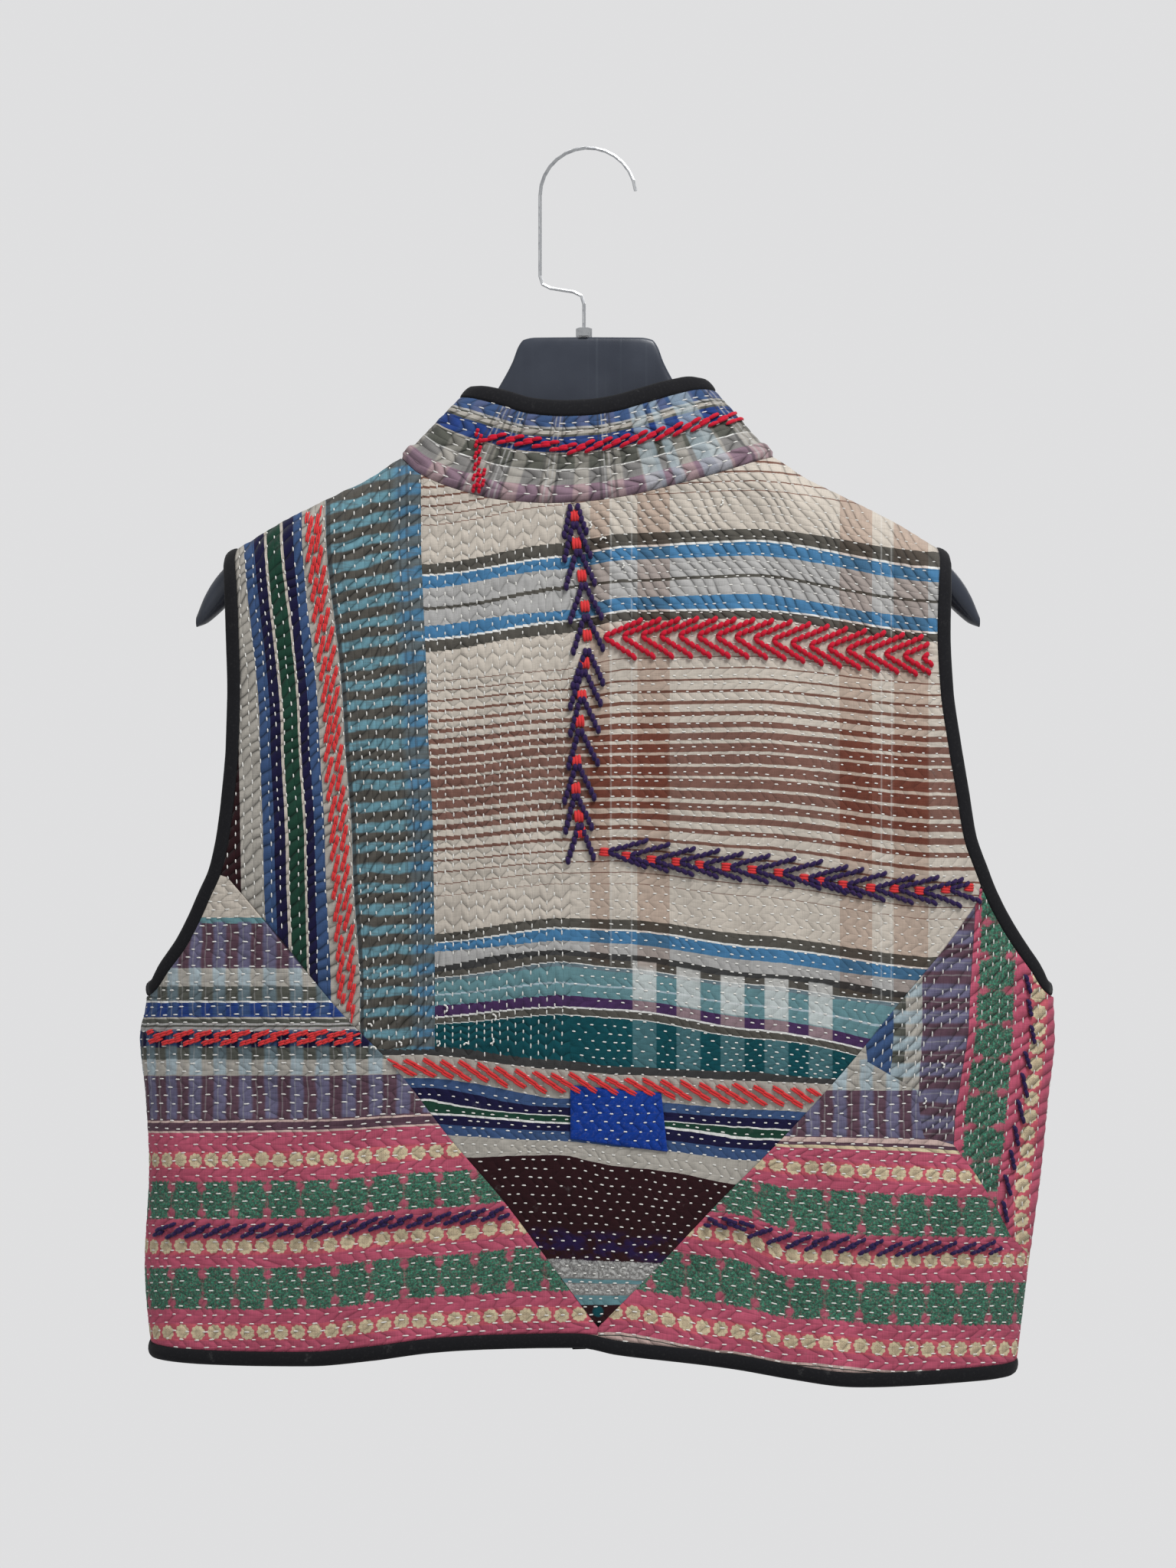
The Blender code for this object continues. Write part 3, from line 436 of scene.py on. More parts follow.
def ripple(x: Array, z: Array, size: float, seed: int) -> Array:
    """Smooth uneven variation from about -1 to 1 over places."""
    rng = np.random.default_rng(seed)
    total = np.zeros_like(x)
    for _ in range(6):
        turn = rng.uniform(0, 2 * math.pi)
        wave = size * rng.uniform(0.6, 1.7)
        along = x * math.cos(turn) + z * math.sin(turn)
        total += np.sin(along * 2 * math.pi / wave + rng.uniform(0, 6.28))
    return total / 3.0


@dataclass(frozen=True)
class Lattice:
    """Spacing of running stitches in chart steps: rows, and stitches along a row; neighbours are staggered.

    The puckers run on from row to row where skew is 0.5 or -0.5, and turn back at each row where it is 0.
    """

    row: float
    pitch: float
    skew: float = 0.0
    length: float = 2.3
    depth: float = 0.8


STRIPS_LATTICE = Lattice(10.9, 16.6, 0.5, 3.2, 0.5)
FIELD_LEFT = Lattice(10.2, 17.0, 0.0, 3.0, 0.4)
FIELD_RIGHT = Lattice(10.4, 15.6, -0.5, 2.6, 0.4)
FIELD_LOW = Lattice(10.4, 15.6, 0.0, 2.6, 0.4)
BORDER_LATTICE = Lattice(10.6, 20.5, 0.0, 3.9, 0.35)
STAND_LATTICE = Lattice(10.6, 17.5, 0.5, 3.7, 0.6)
COLLAR_LATTICE = Lattice(10.8, 20.0, 0.0, 4.2, 0.5)
FRONT_LATTICE = Lattice(13.0, 21.0, 0.0, 3.4, 0.4)
PATCH_LATTICE = Lattice(11.3, 17.0, 0.0, 2.4, 0.4)


# Dyes and shader trees


class Dye(Enum):
    """Colours of the cloths and threads as seen in daylight, 0 to 255."""

    CREAM = (197, 188, 176)
    GREIGE = (175, 170, 161)
    ASH = (172, 171, 169)
    PEWTER = (84, 81, 75)
    SOOT = (62, 62, 62)
    SKY = (71, 121, 161)
    NAVY = (24, 22, 58)
    ROYAL = (36, 62, 124)
    DENIM = (60, 84, 124)
    BOTTLE = (28, 64, 50)
    BROWN = (116, 82, 70)
    CRIMSON = (196, 20, 48)
    CORAL = (216, 58, 60)
    PETROL = (12, 72, 80)
    TEAL = (100, 138, 144)
    MIST = (166, 184, 192)
    PLUM = (70, 46, 86)
    MAROON = (44, 19, 23)
    PINK = (186, 87, 110)
    BLOOM = (208, 98, 104)
    SHELL = (214, 198, 164)
    LILAC = (107, 106, 134)
    MAUVE = (92, 67, 79)
    COBALT = (16, 58, 146)
    OLIVE = (86, 87, 80)
    WHITE = (226, 226, 222)
    BLUSH = (206, 180, 172)
    SLATE = (104, 122, 130)
    STRIPE_TEAL = (108, 152, 165)
    STRIPE_DARK = (86, 83, 77)
    SAGE = (124, 122, 120)
    HEATHER = (132, 109, 122)
    MOSS = (14, 86, 70)
    FERN = (50, 158, 124)
    EARTH = (121, 88, 78)
    RUST = (116, 64, 50)
    THREAD = (240, 238, 232)
    INK = (26, 26, 29)
    INDIGO = (36, 24, 72)
    ROSE_TINT = (234, 220, 214)
    CLEAR = (255, 255, 255)

    def paint(self) -> tuple[float, float, float, float]:
        """The colour as a shader's linear values."""
        linear = [((c / 255 + 0.055) / 1.055) ** 2.4 if c > 10 else c / 255 / 12.92 for c in self.value]
        return (*linear, 1.0)


@dataclass(frozen=True, eq=False)
class Value:
    """A number, colour or vector in a shader tree; arithmetic on it adds Math nodes."""

    graph: "Graph"
    socket: Socket

    def __add__(self, other: "Value | float") -> "Value":
        """The sum."""
        return self.graph.math("ADD", self, other)

    def __sub__(self, other: "Value | float") -> "Value":
        """The difference."""
        return self.graph.math("SUBTRACT", self, other)

    def __rsub__(self, other: float) -> "Value":
        """The difference from a number."""
        return self.graph.math("SUBTRACT", other, self)

    def __mul__(self, other: "Value | float") -> "Value":
        """The product."""
        return self.graph.math("MULTIPLY", self, other)

    def __truediv__(self, other: "Value | float") -> "Value":
        """The quotient."""
        return self.graph.math("DIVIDE", self, other)

    def __pow__(self, other: float) -> "Value":
        """The power."""
        return self.graph.math("POWER", self, other)

    def __abs__(self) -> "Value":
        """The size without its sign."""
        return self.graph.math("ABSOLUTE", self)

    def __lt__(self, other: "Value | float") -> "Value":
        """1 where it is less than the other, otherwise 0."""
        return self.graph.math("LESS_THAN", self, other)

    def __gt__(self, other: "Value | float") -> "Value":
        """1 where it is greater than the other, otherwise 0."""
        return self.graph.math("GREATER_THAN", self, other)


Input = Value | float | Dye | tuple[float, ...]


class Graph:
    """Adds nodes to one shader tree with short calls."""

    def __init__(self, tree: bpy.types.NodeTree) -> None:
        """Takes the tree that nodes are added to."""
        self.tree = tree

    def node(self, kind: str, **settings: object) -> bpy.types.Node:
        """A new node with some of its settings."""
        made = self.tree.nodes.new(kind)
        for name, value in settings.items():
            setattr(made, name, value)
        return made

    def put(self, socket: Socket, value: Input) -> None:
        """Links a socket, or sets a number, colour or dye."""
        if isinstance(value, Value):
            self.tree.links.new(value.socket, socket)
        elif isinstance(value, Dye):
            socket.default_value = value.paint()
        else:
            socket.default_value = value

    def result(
        self, kind: str, output: int | str, inputs: dict[int | str, Input], **settings: object
    ) -> Value:
        """One output of a new node with some of its inputs and settings."""
        made = self.node(kind, **settings)
        for name, value in inputs.items():
            self.put(made.inputs[name], value)
        return Value(self, made.outputs[output])

    def math(self, kind: str, first: Input, second: Input = 0.0) -> Value:
        """A Math node."""
        return self.result("ShaderNodeMath", 0, {0: first, 1: second}, operation=kind)

    def mix(self, share: Input, first: Input, second: Input, blend: str = "MIX") -> Value:
        """A colour Mix node."""
        inputs = {0: share, 6: first, 7: second}
        return self.result("ShaderNodeMix", 2, inputs, data_type="RGBA", blend_type=blend)

    def pick(self, share: Input, first: Input, second: Input) -> Value:
        """A number Mix node."""
        return self.result("ShaderNodeMix", 0, {0: share, 2: first, 3: second}, data_type="FLOAT")

    def ease(self, value: Input, low: Input, high: Input, start: float = 0.0, end: float = 1.0) -> Value:
        """A smooth step from start to end while a value goes from low to high."""
        inputs = dict(enumerate((value, low, high, start, end)))
        return self.result("ShaderNodeMapRange", 0, inputs, interpolation_type="SMOOTHSTEP")

    def between(self, value: Value, low: float, high: float, soft: float = 1.0) -> Value:
        """1 where a value lies between two limits, with soft edges."""
        rise = self.ease(value, low - soft, low + soft)
        return rise * self.ease(value, high - soft, high + soft, 1.0, 0.0)

    def noise(self, vector: Value, scale: float, detail: float = 3.0, rough: float = 0.5) -> Value:
        """Value of a Noise node."""
        inputs = {"Vector": vector, "Scale": scale, "Detail": detail, "Roughness": rough}
        return self.result("ShaderNodeTexNoise", "Fac", inputs)

    def stretch(self, vector: Value, x: float, y: float) -> Value:
        """A vector scaled along its two axes."""
        return self.result("ShaderNodeVectorMath", 0, {0: vector, 1: (x, y, 1.0)}, operation="MULTIPLY")

    def combine(self, x: Value, y: Value, z: Input = 0.0) -> Value:
        """A vector or colour from its parts."""
        return self.result("ShaderNodeCombineXYZ", 0, {0: x, 1: y, 2: z})

    def place(self) -> Value:
        """The place on an object, in metres."""
        return self.result("ShaderNodeTexCoord", "Object", {})

    def uv(self, name: str) -> tuple[Value, Value, Value]:
        """A UV layer as a vector and its two coordinates in chart steps."""
        vector = self.result("ShaderNodeUVMap", 0, {}, uv_map=name)
        parts = (self.result("ShaderNodeSeparateXYZ", k, {0: vector}) * 1000.0 for k in range(2))
        return (vector, *parts)

    def bump(self, shader: bpy.types.Node, height: Value, strength: float, distance: float) -> None:
        """Gives a shader its fine relief."""
        inputs = {"Strength": strength, "Distance": distance, "Height": height}
        self.put(shader.inputs["Normal"], self.result("ShaderNodeBump", 0, inputs))

    def bands(self, value: Value, low: float, high: float, stops: Sequence[tuple[float, Dye]]) -> Value:
        """Colour by bands: each stop gives where a colour starts."""
        place = (value - low) / (high - low)
        made = self.node("ShaderNodeValToRGB")
        made.color_ramp.interpolation = "CONSTANT"
        elements = made.color_ramp.elements
        elements[0].position, elements[0].color = 0.0, stops[0][1].paint()
        elements.remove(elements[1])
        for start, dye in stops[1:]:
            elements.new((start - low) / (high - low)).color = dye.paint()
        self.put(made.inputs[0], place)
        return Value(self, made.outputs[0])

    def group(self, tree: bpy.types.NodeTree, **values: Input) -> dict[str, Value]:
        """The outputs of a node group, by name."""
        made = self.node("ShaderNodeGroup", node_tree=tree)
        for name, value in values.items():
            self.put(made.inputs[name], value)
        return {item.name: Value(self, item) for item in made.outputs}


class GroupDraft:
    """A node group being made: its inputs as values, its graph and its outputs."""

    def __init__(self, name: str, inputs: str, outputs: str) -> None:
        """Takes the names of the inputs and of the outputs, with spaces between them."""
        tree = bpy.data.node_groups.new(name, "ShaderNodeTree")
        for in_out, labels in (("INPUT", inputs), ("OUTPUT", outputs)):
            for label in labels.split():
                kind = "NodeSocketVector" if label == "Vector" else "NodeSocketFloat"
                tree.interface.new_socket(label, in_out=in_out, socket_type=kind)
        self.graph = Graph(tree)
        given = self.graph.node("NodeGroupInput").outputs
        self.inputs = [Value(self.graph, given[label]) for label in inputs.split()]
        self.taken = self.graph.node("NodeGroupOutput").inputs

    def finish(self, *values: Value) -> bpy.types.NodeTree:
        """Links the outputs in their order and gives the group."""
        for socket, value in zip(self.taken, values):
            self.graph.put(socket, value)
        return self.graph.tree


class Effects:
    """Node groups that several materials share."""

    def __init__(self) -> None:
        """Makes each group once."""
        self.weave = self._weave()
        self.flowers = self._flowers()
        self.foliage = self._foliage()
        self.repeat = self._repeat()
        self.quilting = self._quilting()

    def stripes(self, place: Value, period: float, share: Input, soft: float) -> Value:
        """Evenly repeated stripes over a place: 1 on a stripe."""
        return place.graph.group(self.repeat, Place=place, Period=period, Share=share, Soft=soft)["Mask"]

    def _quilting(self) -> bpy.types.NodeTree:
        """Puckers between staggered stitches, creased along the rows: 0 at a stitch, 1 on a ridge.

        Skew is 0.5 or -0.5 where the puckers run on from row to row, and 0 where they turn back at each row.
        """
        draft = GroupDraft("quilting", "Across Along Skew", "Height")
        graph, (across, along, skew) = draft.graph, draft.inputs
        half = graph.math("FRACT", across * 0.5)
        turning = 1.0 - abs(half * 2.0 - 1.0)
        phase = turning * (0.5 - abs(skew)) + (across * skew + along)
        ridge = abs(graph.math("SINE", phase * math.pi))
        crest = abs(graph.math("SINE", across * math.pi))
        return draft.finish(ridge**0.7 * (crest**0.6 * 0.36 + 0.64))

    def _weave(self) -> bpy.types.NodeTree:
        """Plain woven cotton: shade from slubs and fading, height from threads."""
        draft = GroupDraft("woven cotton", "Vector Slub Fade", "Shade Height Worn")
        graph, (vector, slub, fade) = draft.graph, draft.inputs
        threads = graph.noise(graph.stretch(vector, 40, 900), 1.0, 2.0)
        threads += graph.noise(graph.stretch(vector, 900, 40), 1.0, 2.0)
        cloud = graph.noise(vector, 14.0, 4.0, 0.6)
        small = graph.noise(vector, 120.0, 3.0, 0.6)
        shade = (threads - 1.0) * slub + 1.0
        shade = (cloud - 0.5) * fade + shade
        shade = (small - 0.5) * 0.22 + shade
        worn = graph.ease(graph.noise(vector, 38.0, 5.0, 0.7), 0.6, 0.78)
        return draft.finish(shade, threads * 0.5 + small * 0.8, worn)

    def _repeat(self) -> bpy.types.NodeTree:
        """Evenly repeated stripes: 1 on a stripe, with soft edges."""
        draft = GroupDraft("repeated stripes", "Place Period Share Soft", "Mask")
        graph, (place, period, share, soft) = draft.graph, draft.inputs
        off = abs(graph.math("FRACT", place / period) - 0.5) * 2.0
        return draft.finish(graph.ease(off, share - soft, share + soft, 1.0, 0.0))

    def _flowers(self) -> bpy.types.NodeTree:
        """A row of small round woven flowers with notched edges and speckled hearts."""
        draft = GroupDraft("flower row", "Along Across Centre Pitch", "Flower Heart")
        graph, (along, across, centre, pitch) = draft.graph, draft.inputs
        turns = along / pitch
        x = graph.math("FRACT", turns) - 0.5
        wander = graph.math("SINE", graph.math("FLOOR", turns) * 2.4) * 0.9
        y = (across - centre - wander) / pitch
        angle = graph.math("ARCTAN2", y, x)
        radius = graph.math("SQRT", x * x + y * y)
        notches = graph.math("COSINE", angle * 9.0)
        flower = graph.ease(radius + notches * 0.028, 0.39, 0.44, 1.0, 0.0)
        rays = graph.math("COSINE", angle * 8.0)
        rings = graph.math("SINE", radius * 60.0)
        heart = graph.ease(rays * rings, -0.3, 0.1) * graph.ease(radius, 0.21, 0.25, 1.0, 0.0)
        petals = graph.ease(notches, 0.7, 0.95) * 0.45 * graph.between(radius, 0.26, 0.42, 0.01)
        return draft.finish(flower, graph.math("MAXIMUM", heart, petals))

    def _foliage(self) -> bpy.types.NodeTree:
        """A band of close leaves with rosy gaps between its motifs."""
        draft = GroupDraft("leaf band", "Along Across Pitch Half", "Leaf Light")
        graph, (along, across, pitch, half) = draft.graph, draft.inputs
        x = abs(graph.math("FRACT", along / pitch) - 0.5) * 2.0
        y = abs(across / half)
        plane = graph.combine(along, across)
        fine = graph.noise(graph.stretch(plane, 1.0, 0.6), 0.26, 3.0, 0.75)
        broad = graph.noise(plane, 0.1, 3.0, 0.7)
        ragged = fine - 0.5
        side = ragged * 1.1 + (y**2.0 * 0.26 + x) + (broad * 0.6 - 0.3)
        end = ragged * 0.5 + y
        leaf = graph.ease(side, 0.92, 1.02, 1.0, 0.0) * graph.ease(end, 0.96, 1.04, 1.0, 0.0)
        bare = graph.ease(broad * 0.8 + fine * 0.7, 0.86, 0.94)
        leaf *= 1.0 - bare
        aside = (1.0 - x) * (pitch * 0.5)
        away = (y - 0.68) * half
        reach = graph.math("SQRT", aside * aside + away * away)
        rose = graph.ease(ragged * 11.0 + reach, 4.4, 7.4, 0.2, 1.0)
        fleck = graph.ease(fine, 0.42, 0.54) * graph.ease(end, 0.96, 1.04, 0.85, 0.0)
        threads = graph.noise(graph.stretch(plane, 0.6, 1.0), 0.4, 3.0, 0.8)
        leaf = graph.math("MAXIMUM", leaf, fleck) * rose * graph.ease(threads, 0.36, 0.46, 0.66, 1.0)
        return draft.finish(leaf, graph.ease(graph.noise(plane, 0.3, 3.0, 0.8), 0.42, 0.68))


# Finishes


Draft = tuple[bpy.types.Material, Graph, bpy.types.Node]
MATT = 0.17
GLOSSY = 0.5
SHEEN_SPREAD = 0.5


def principled(name: str, rough: float, sheen: float = 0.0) -> Draft:
    """A material with its graph and its shader."""
    made = bpy.data.materials.new(name)
    made.use_nodes = True
    shader = made.node_tree.nodes["Principled BSDF"]
    settings = {
        "Roughness": rough, "Specular IOR Level": MATT, "Sheen Weight": sheen,
        "Sheen Roughness": SHEEN_SPREAD,
    }
    for label, value in settings.items():
        shader.inputs[label].default_value = value
    return made, Graph(made.node_tree), shader


@dataclass(frozen=True)
class Cotton:
    """Finish of a worn woven cotton with its quilting; each kind gives its own colours."""

    name: str
    effects: Effects
    lattice: Lattice | None = BORDER_LATTICE
    slub: float = 0.34
    fade: float = 0.55
    puff: float = 0.0015
    bold: float = 1.0
    rough: float = 0.92
    sheen: float = 0.06
    thread_height: float = 0.12
    # share of the colour left by the painted shade at the puckers' deepest hollows
    painted_hollow_shade: float = 0.54
    wear: float = 0.14
    mean_height: float = 0.75
    softest: float = 0.55

    def colour(self, graph: Graph) -> Value:
        """Colour before weave and wear."""
        raise NotImplementedError

    def puckers(self, across: Value, along: Value, lattice: Lattice, share: float = 1.0) -> Value:
        """Height of the puckers for rows of stitches at whole numbers of rows across.

        Args:
            share: how bold they are beside those of the other cloths.
        """
        graph = across.graph
        _, sway, drift = graph.uv("sway")
        rows, turns = across / lattice.row + sway, along / lattice.pitch + drift
        puckers = graph.group(self.effects.quilting, Across=rows, Along=turns, Skew=lattice.skew)["Height"]
        cloud = graph.noise(graph.uv("bands")[0], 24.0, 2.0)
        strength = graph.ease(cloud, 0.3, 0.62, self.softest * share, share)
        return (puckers - self.mean_height) * strength + self.mean_height

    def quilting(self, graph: Graph) -> Value:
        """Height of the puckers over the whole cloth."""
        _, u, v = graph.uv("bands")
        return self.puckers(v, u, self.lattice, self.bold)

    def material(self) -> bpy.types.Material:
        """The finished material, with painted shade darkening its colour in the puckers' hollows."""
        made, graph, shader = principled(self.name, self.rough, self.sheen)
        vector = graph.uv("bands")[0]
        woven = graph.group(self.effects.weave, Vector=vector, Slub=self.slub, Fade=self.fade)
        shade, height = woven["Shade"], woven["Height"] * self.thread_height
        if self.lattice:
            puckers = self.quilting(graph)
            height += puckers
            # painted shade: the colour darkens towards the hollows between stitches
            shade *= graph.ease(puckers, 0.0, 0.7, self.painted_hollow_shade, 1.0)
        colour = graph.mix(1.0, self.colour(graph), graph.combine(shade, shade, shade), "MULTIPLY")
        graph.put(shader.inputs["Base Color"], graph.mix(woven["Worn"] * self.wear, colour, Dye.ASH))
        graph.bump(shader, height, 1.0, self.puff)
        return made


def uneven(value: Value, vector: Value, amount: float, scale: float = 60.0) -> Value:
    """A band coordinate with slightly uneven edges."""
    return (value.graph.noise(vector, scale, 2.0) - 0.5) * amount + value


# bands of cloth: where each starts on the chart, and its colour
FIELD_UPPER = (
    (560, Dye.CREAM), (696.5, Dye.PEWTER), (712.5, Dye.WHITE), (715, Dye.SKY), (731, Dye.ASH),
    (756, Dye.PEWTER), (759.5, Dye.ASH), (780, Dye.SKY), (796, Dye.WHITE), (798.5, Dye.PEWTER),
    (811, Dye.CREAM),
)
FIELD_LOWER = (
    (1180, Dye.CREAM), (1200, Dye.PEWTER), (1213, Dye.WHITE), (1215.5, Dye.SKY), (1232, Dye.ASH),
    (1246, Dye.SOOT), (1254, Dye.PEWTER), (1264, Dye.WHITE), (1265.5, Dye.SLATE), (1270, Dye.TEAL),
    (1288, Dye.MIST), (1291, Dye.TEAL), (1305, Dye.PLUM), (1318, Dye.WHITE), (1320, Dye.PEWTER),
    (1329, Dye.WHITE), (1331, Dye.PETROL), (1393, Dye.SOOT), (1403, Dye.GREIGE), (1436, Dye.DENIM),
    (1449, Dye.NAVY),
)
FIELD_TIP = (
    (1430, Dye.DENIM), (1449, Dye.NAVY), (1460, Dye.WHITE), (1462, Dye.BOTTLE), (1468, Dye.WHITE),
    (1470.5, Dye.NAVY), (1484, Dye.DENIM), (1498, Dye.GREIGE), (1524, Dye.MAROON), (1646, Dye.SAGE),
    (1670, Dye.TEAL), (1676, Dye.SAGE), (1691, Dye.TEAL), (1704, Dye.MAROON),
)
FIELD_TINTS = (
    (540, Dye.CLEAR), (768, Dye.ROSE_TINT), (794, Dye.CLEAR), (830, Dye.ROSE_TINT), (873, Dye.CLEAR),
    (1096, Dye.ROSE_TINT), (1139, Dye.CLEAR), (1167, Dye.ROSE_TINT), (1212, Dye.CLEAR),
)
STRIPS = (
    (280, Dye.MAROON), (311, Dye.GREIGE), (339, Dye.DENIM), (353, Dye.NAVY), (366.5, Dye.CREAM),
    (370, Dye.BOTTLE), (388.5, Dye.CREAM), (391.5, Dye.NAVY), (403, Dye.DENIM), (415.5, Dye.GREIGE),
    (448, Dye.SLATE),
)
STRIPS_EDGE = 559.0
STRIPS_END = 1398.0
ARROW_LINE = 745.0
UPRIGHT_END = 1400.0


def in_strips(s: Value | Array, v: Value | Array) -> Value | Array:
    """1 on the upright strips, which end above the lying band of coral strokes."""
    return (s < STRIPS_EDGE) * (v < STRIPS_END)


def beside_arrows(u: Value | Array, v: Value | Array) -> Value | Array:
    """1 left of the line of arrows, where rows of stitches are upright."""
    return (u < ARROW_LINE) * (v < UPRIGHT_END)


@dataclass(frozen=True)
class FieldCotton(Cotton):
    """The centre panel: uneven woven stripes across, with upright strips at its left.

    Lines and checks are given by where they start and end, or how wide they are, and how strongly they show.
    """

    upper_span: tuple[float, float] = (560.0, 900.0)
    lower_span: tuple[float, float] = (1180.0, 1480.0)
    tip_span: tuple[float, float] = (1430.0, 1760.0)
    tint_span: tuple[float, float] = (540.0, 1260.0)
    lower_start: float = 1190.0
    tip_start: float = 1445.0
    tooth: float = -1.5
    tinted: tuple[float, float] = (560.0, 1262.0)
    pale_lines: Sequence[float] = (797.0, 824.0, 1150.0, 1163.0)
    checked: tuple[float, float] = (820.0, 1092.0)
    check_start: float = 813.0
    check_period: float = 57.5
    checks: Sequence[tuple[float, float, Dye, float]] = (
        (1254, 1304, Dye.WHITE, 0.6), (1305, 1318, Dye.BLUSH, 0.4), (1331, 1393, Dye.TEAL, 0.45),
    )
    violet: tuple[float, float] = (1612.0, 1645.0)
    scribbled: Sequence[tuple[float, float]] = ((1646, 1669), (1677, 1690))
    dot: tuple[float, float] = (781.0, 1713.0)
    brown_band: tuple[float, float] = (850.0, 1150.0)
    brown_period: float = 14.7
    brown_shares: Sequence[tuple[float, float]] = (
        (0.0, 0.05), (0.12, 0.16), (0.3, 0.42), (0.42, 0.76), (0.6, 0.78), (0.74, 0.44), (0.87, 0.15),
        (1.0, 0.05),
    )
    thin_start: float = 640.0
    thin_period: float = 12.4
    deep_browns: Sequence[tuple[float, float]] = ((766.0, 873.0), (1096.0, 1212.0))
    ladder_start: float = 449.0
    ladder_period: float = 27.0
    ladder_lines: Sequence[tuple[float, float, float]] = (
        (449, 5, 0.8), (463, 4, 0.35), (500, 4, 0.2), (520, 4, 0.4), (532, 3, 0.5), (541, 3, 0.5),
    )

    def quilting(self, graph: Graph) -> Value:
        """Upright rows in the strips and left of the arrows, lying rows elsewhere."""
        _, u, v = graph.uv("bands")
        _, s, w = graph.uv("strips")
        high, low = self.puckers(v, u, FIELD_RIGHT, 0.9), self.puckers(v, u, FIELD_LOW, 0.36)
        right = graph.pick(graph.ease(v, 800.0, 850.0), high, low)
        field = graph.pick(beside_arrows(u, v), right, self.puckers(u, v, FIELD_LEFT, 0.62))
        return graph.pick(in_strips(s, v), field, self.puckers(s, w, STRIPS_LATTICE, 1.1))

    def colour(self, graph: Graph) -> Value:
        """Stripes of the field, and the strips left of their seam."""
        vector, u, v = graph.uv("bands")
        _, s, w = graph.uv("strips")
        _, sway, _ = graph.uv("sway")
        tooth = graph.math("FRACT", u / FIELD_LEFT.row + sway)
        step = (tooth - 0.5) * (beside_arrows(u, v) * self.tooth)
        v = uneven(v, vector, 2.4) + step
        lower = graph.bands(v, *self.lower_span, FIELD_LOWER)
        lower = graph.mix(v > self.tip_start, lower, graph.bands(v, *self.tip_span, FIELD_TIP))
        field = graph.mix(v > self.lower_start, graph.bands(v, *self.upper_span, FIELD_UPPER), lower)
        field = self._browns(field, u, v)
        check = self.effects.stripes(u - self.check_start, self.check_period, 0.54, 0.04)
        check *= graph.between(u, *self.checked, 1.5)
        for low, high, dye, share in self.checks:
            field = graph.mix(check * graph.between(v, low, high) * share, field, dye)
        upper = graph.between(v, *self.tinted, 4.0)
        tint = graph.mix(upper, Dye.CLEAR, graph.bands(u, *self.tint_span, FIELD_TINTS))
        field = graph.mix(1.0, field, tint, "MULTIPLY")
        for place in self.pale_lines:
            field = graph.mix(graph.between(u, place, place + 2.0, 0.8) * upper * 0.2, field, Dye.WHITE)
        haze = graph.ease(graph.noise(graph.stretch(vector, 0.6, 1.0), 60.0, 3.0, 0.6), 0.4, 0.6)
        field = graph.mix(haze * graph.between(v, *self.violet, 9.0) * 0.8, field, Dye.INDIGO)
        scribble = graph.ease(graph.noise(vector, 210.0, 4.0, 0.8), 0.44, 0.58)
        for low, high in self.scribbled:
            field = graph.mix(scribble * graph.between(v, low, high) * 0.5, field, Dye.WHITE)
        away = (u - self.dot[0]) ** 2.0 + (v - self.dot[1]) ** 2.0
        field = graph.mix(graph.ease(away, 30.0, 70.0, 1.0, 0.0), field, Dye.PETROL)
        return graph.mix(in_strips(s, v), field, self._strips(vector, s, w))

    def _browns(self, field: Value, u: Value, v: Value) -> Value:
        """The brown stripes that swell and thin again, and the thin ones under the collar."""
        graph = field.graph
        low, high = self.brown_band
        swell = graph.node("ShaderNodeValToRGB")
        elements = swell.color_ramp.elements
        for place, _ in self.brown_shares[1:-1]:
            elements.new(place)
        for item, (_, grey) in zip(elements, self.brown_shares):
            item.color = (grey, grey, grey, 1)
        graph.put(swell.inputs[0], (v - low) / (high - low))
        brown = self.effects.stripes(v, self.brown_period, Value(graph, swell.outputs[0]), 0.06)
        brown *= graph.between(v, low + 1.0, high + 6.0, 2.0)
        thin = graph.ease(v, 600.0, 652.0, 0.24, 0.08)
        thin = self.effects.stripes(v - self.thin_start, self.thin_period, thin, 0.06) * (v < 653.0)
        deep, more = (graph.between(u, *band, 3.0) for band in self.deep_browns)
        dye = graph.mix((deep + more) * 0.75, Dye.EARTH, Dye.RUST)
        dye = graph.mix(graph.between(v, 935.0, 1090.0, 40.0), Dye.BROWN, dye)
        return graph.mix(graph.math("MAXIMUM", brown, thin), field, dye)

    def _strips(self, vector: Value, s: Value, w: Value) -> Value:
        """Upright strips, and the strip of teal and dark stripes with a brighter right side."""
        graph = vector.graph
        strips = graph.bands(uneven(s, vector, 1.6), 280, 470, STRIPS)
        bar = self.effects.stripes(uneven(w, vector, 14.0, 24.0), self.ladder_period, 0.52, 0.14)
        bright = graph.ease(s, 520.0, 536.0)
        light = graph.mix(bright * 0.75, Dye.STRIPE_TEAL, Dye.SKY)
        ladder = graph.mix(bar, light, graph.mix(bright * 0.5, Dye.STRIPE_DARK, Dye.SLATE))
        streak = graph.ease(graph.noise(graph.stretch(vector, 1.0, 5.0), 40.0, 3.0, 0.6), 0.5, 0.66)
        ladder = graph.mix(streak * 0.4, ladder, Dye.STRIPE_DARK)
        for place, wide, share in self.ladder_lines:
            ladder = graph.mix(graph.between(s, place, place + wide) * share, ladder, Dye.SOOT)
        return graph.mix(s > self.ladder_start, strips, ladder)


@dataclass(frozen=True)
class FrontCotton(FieldCotton):
    """The striped cotton of the fronts, quilted in lying rows only."""

    def quilting(self, graph: Graph) -> Value:
        """Lying rows."""
        _, u, v = graph.uv("bands")
        return self.puckers(v, u, FRONT_LATTICE)


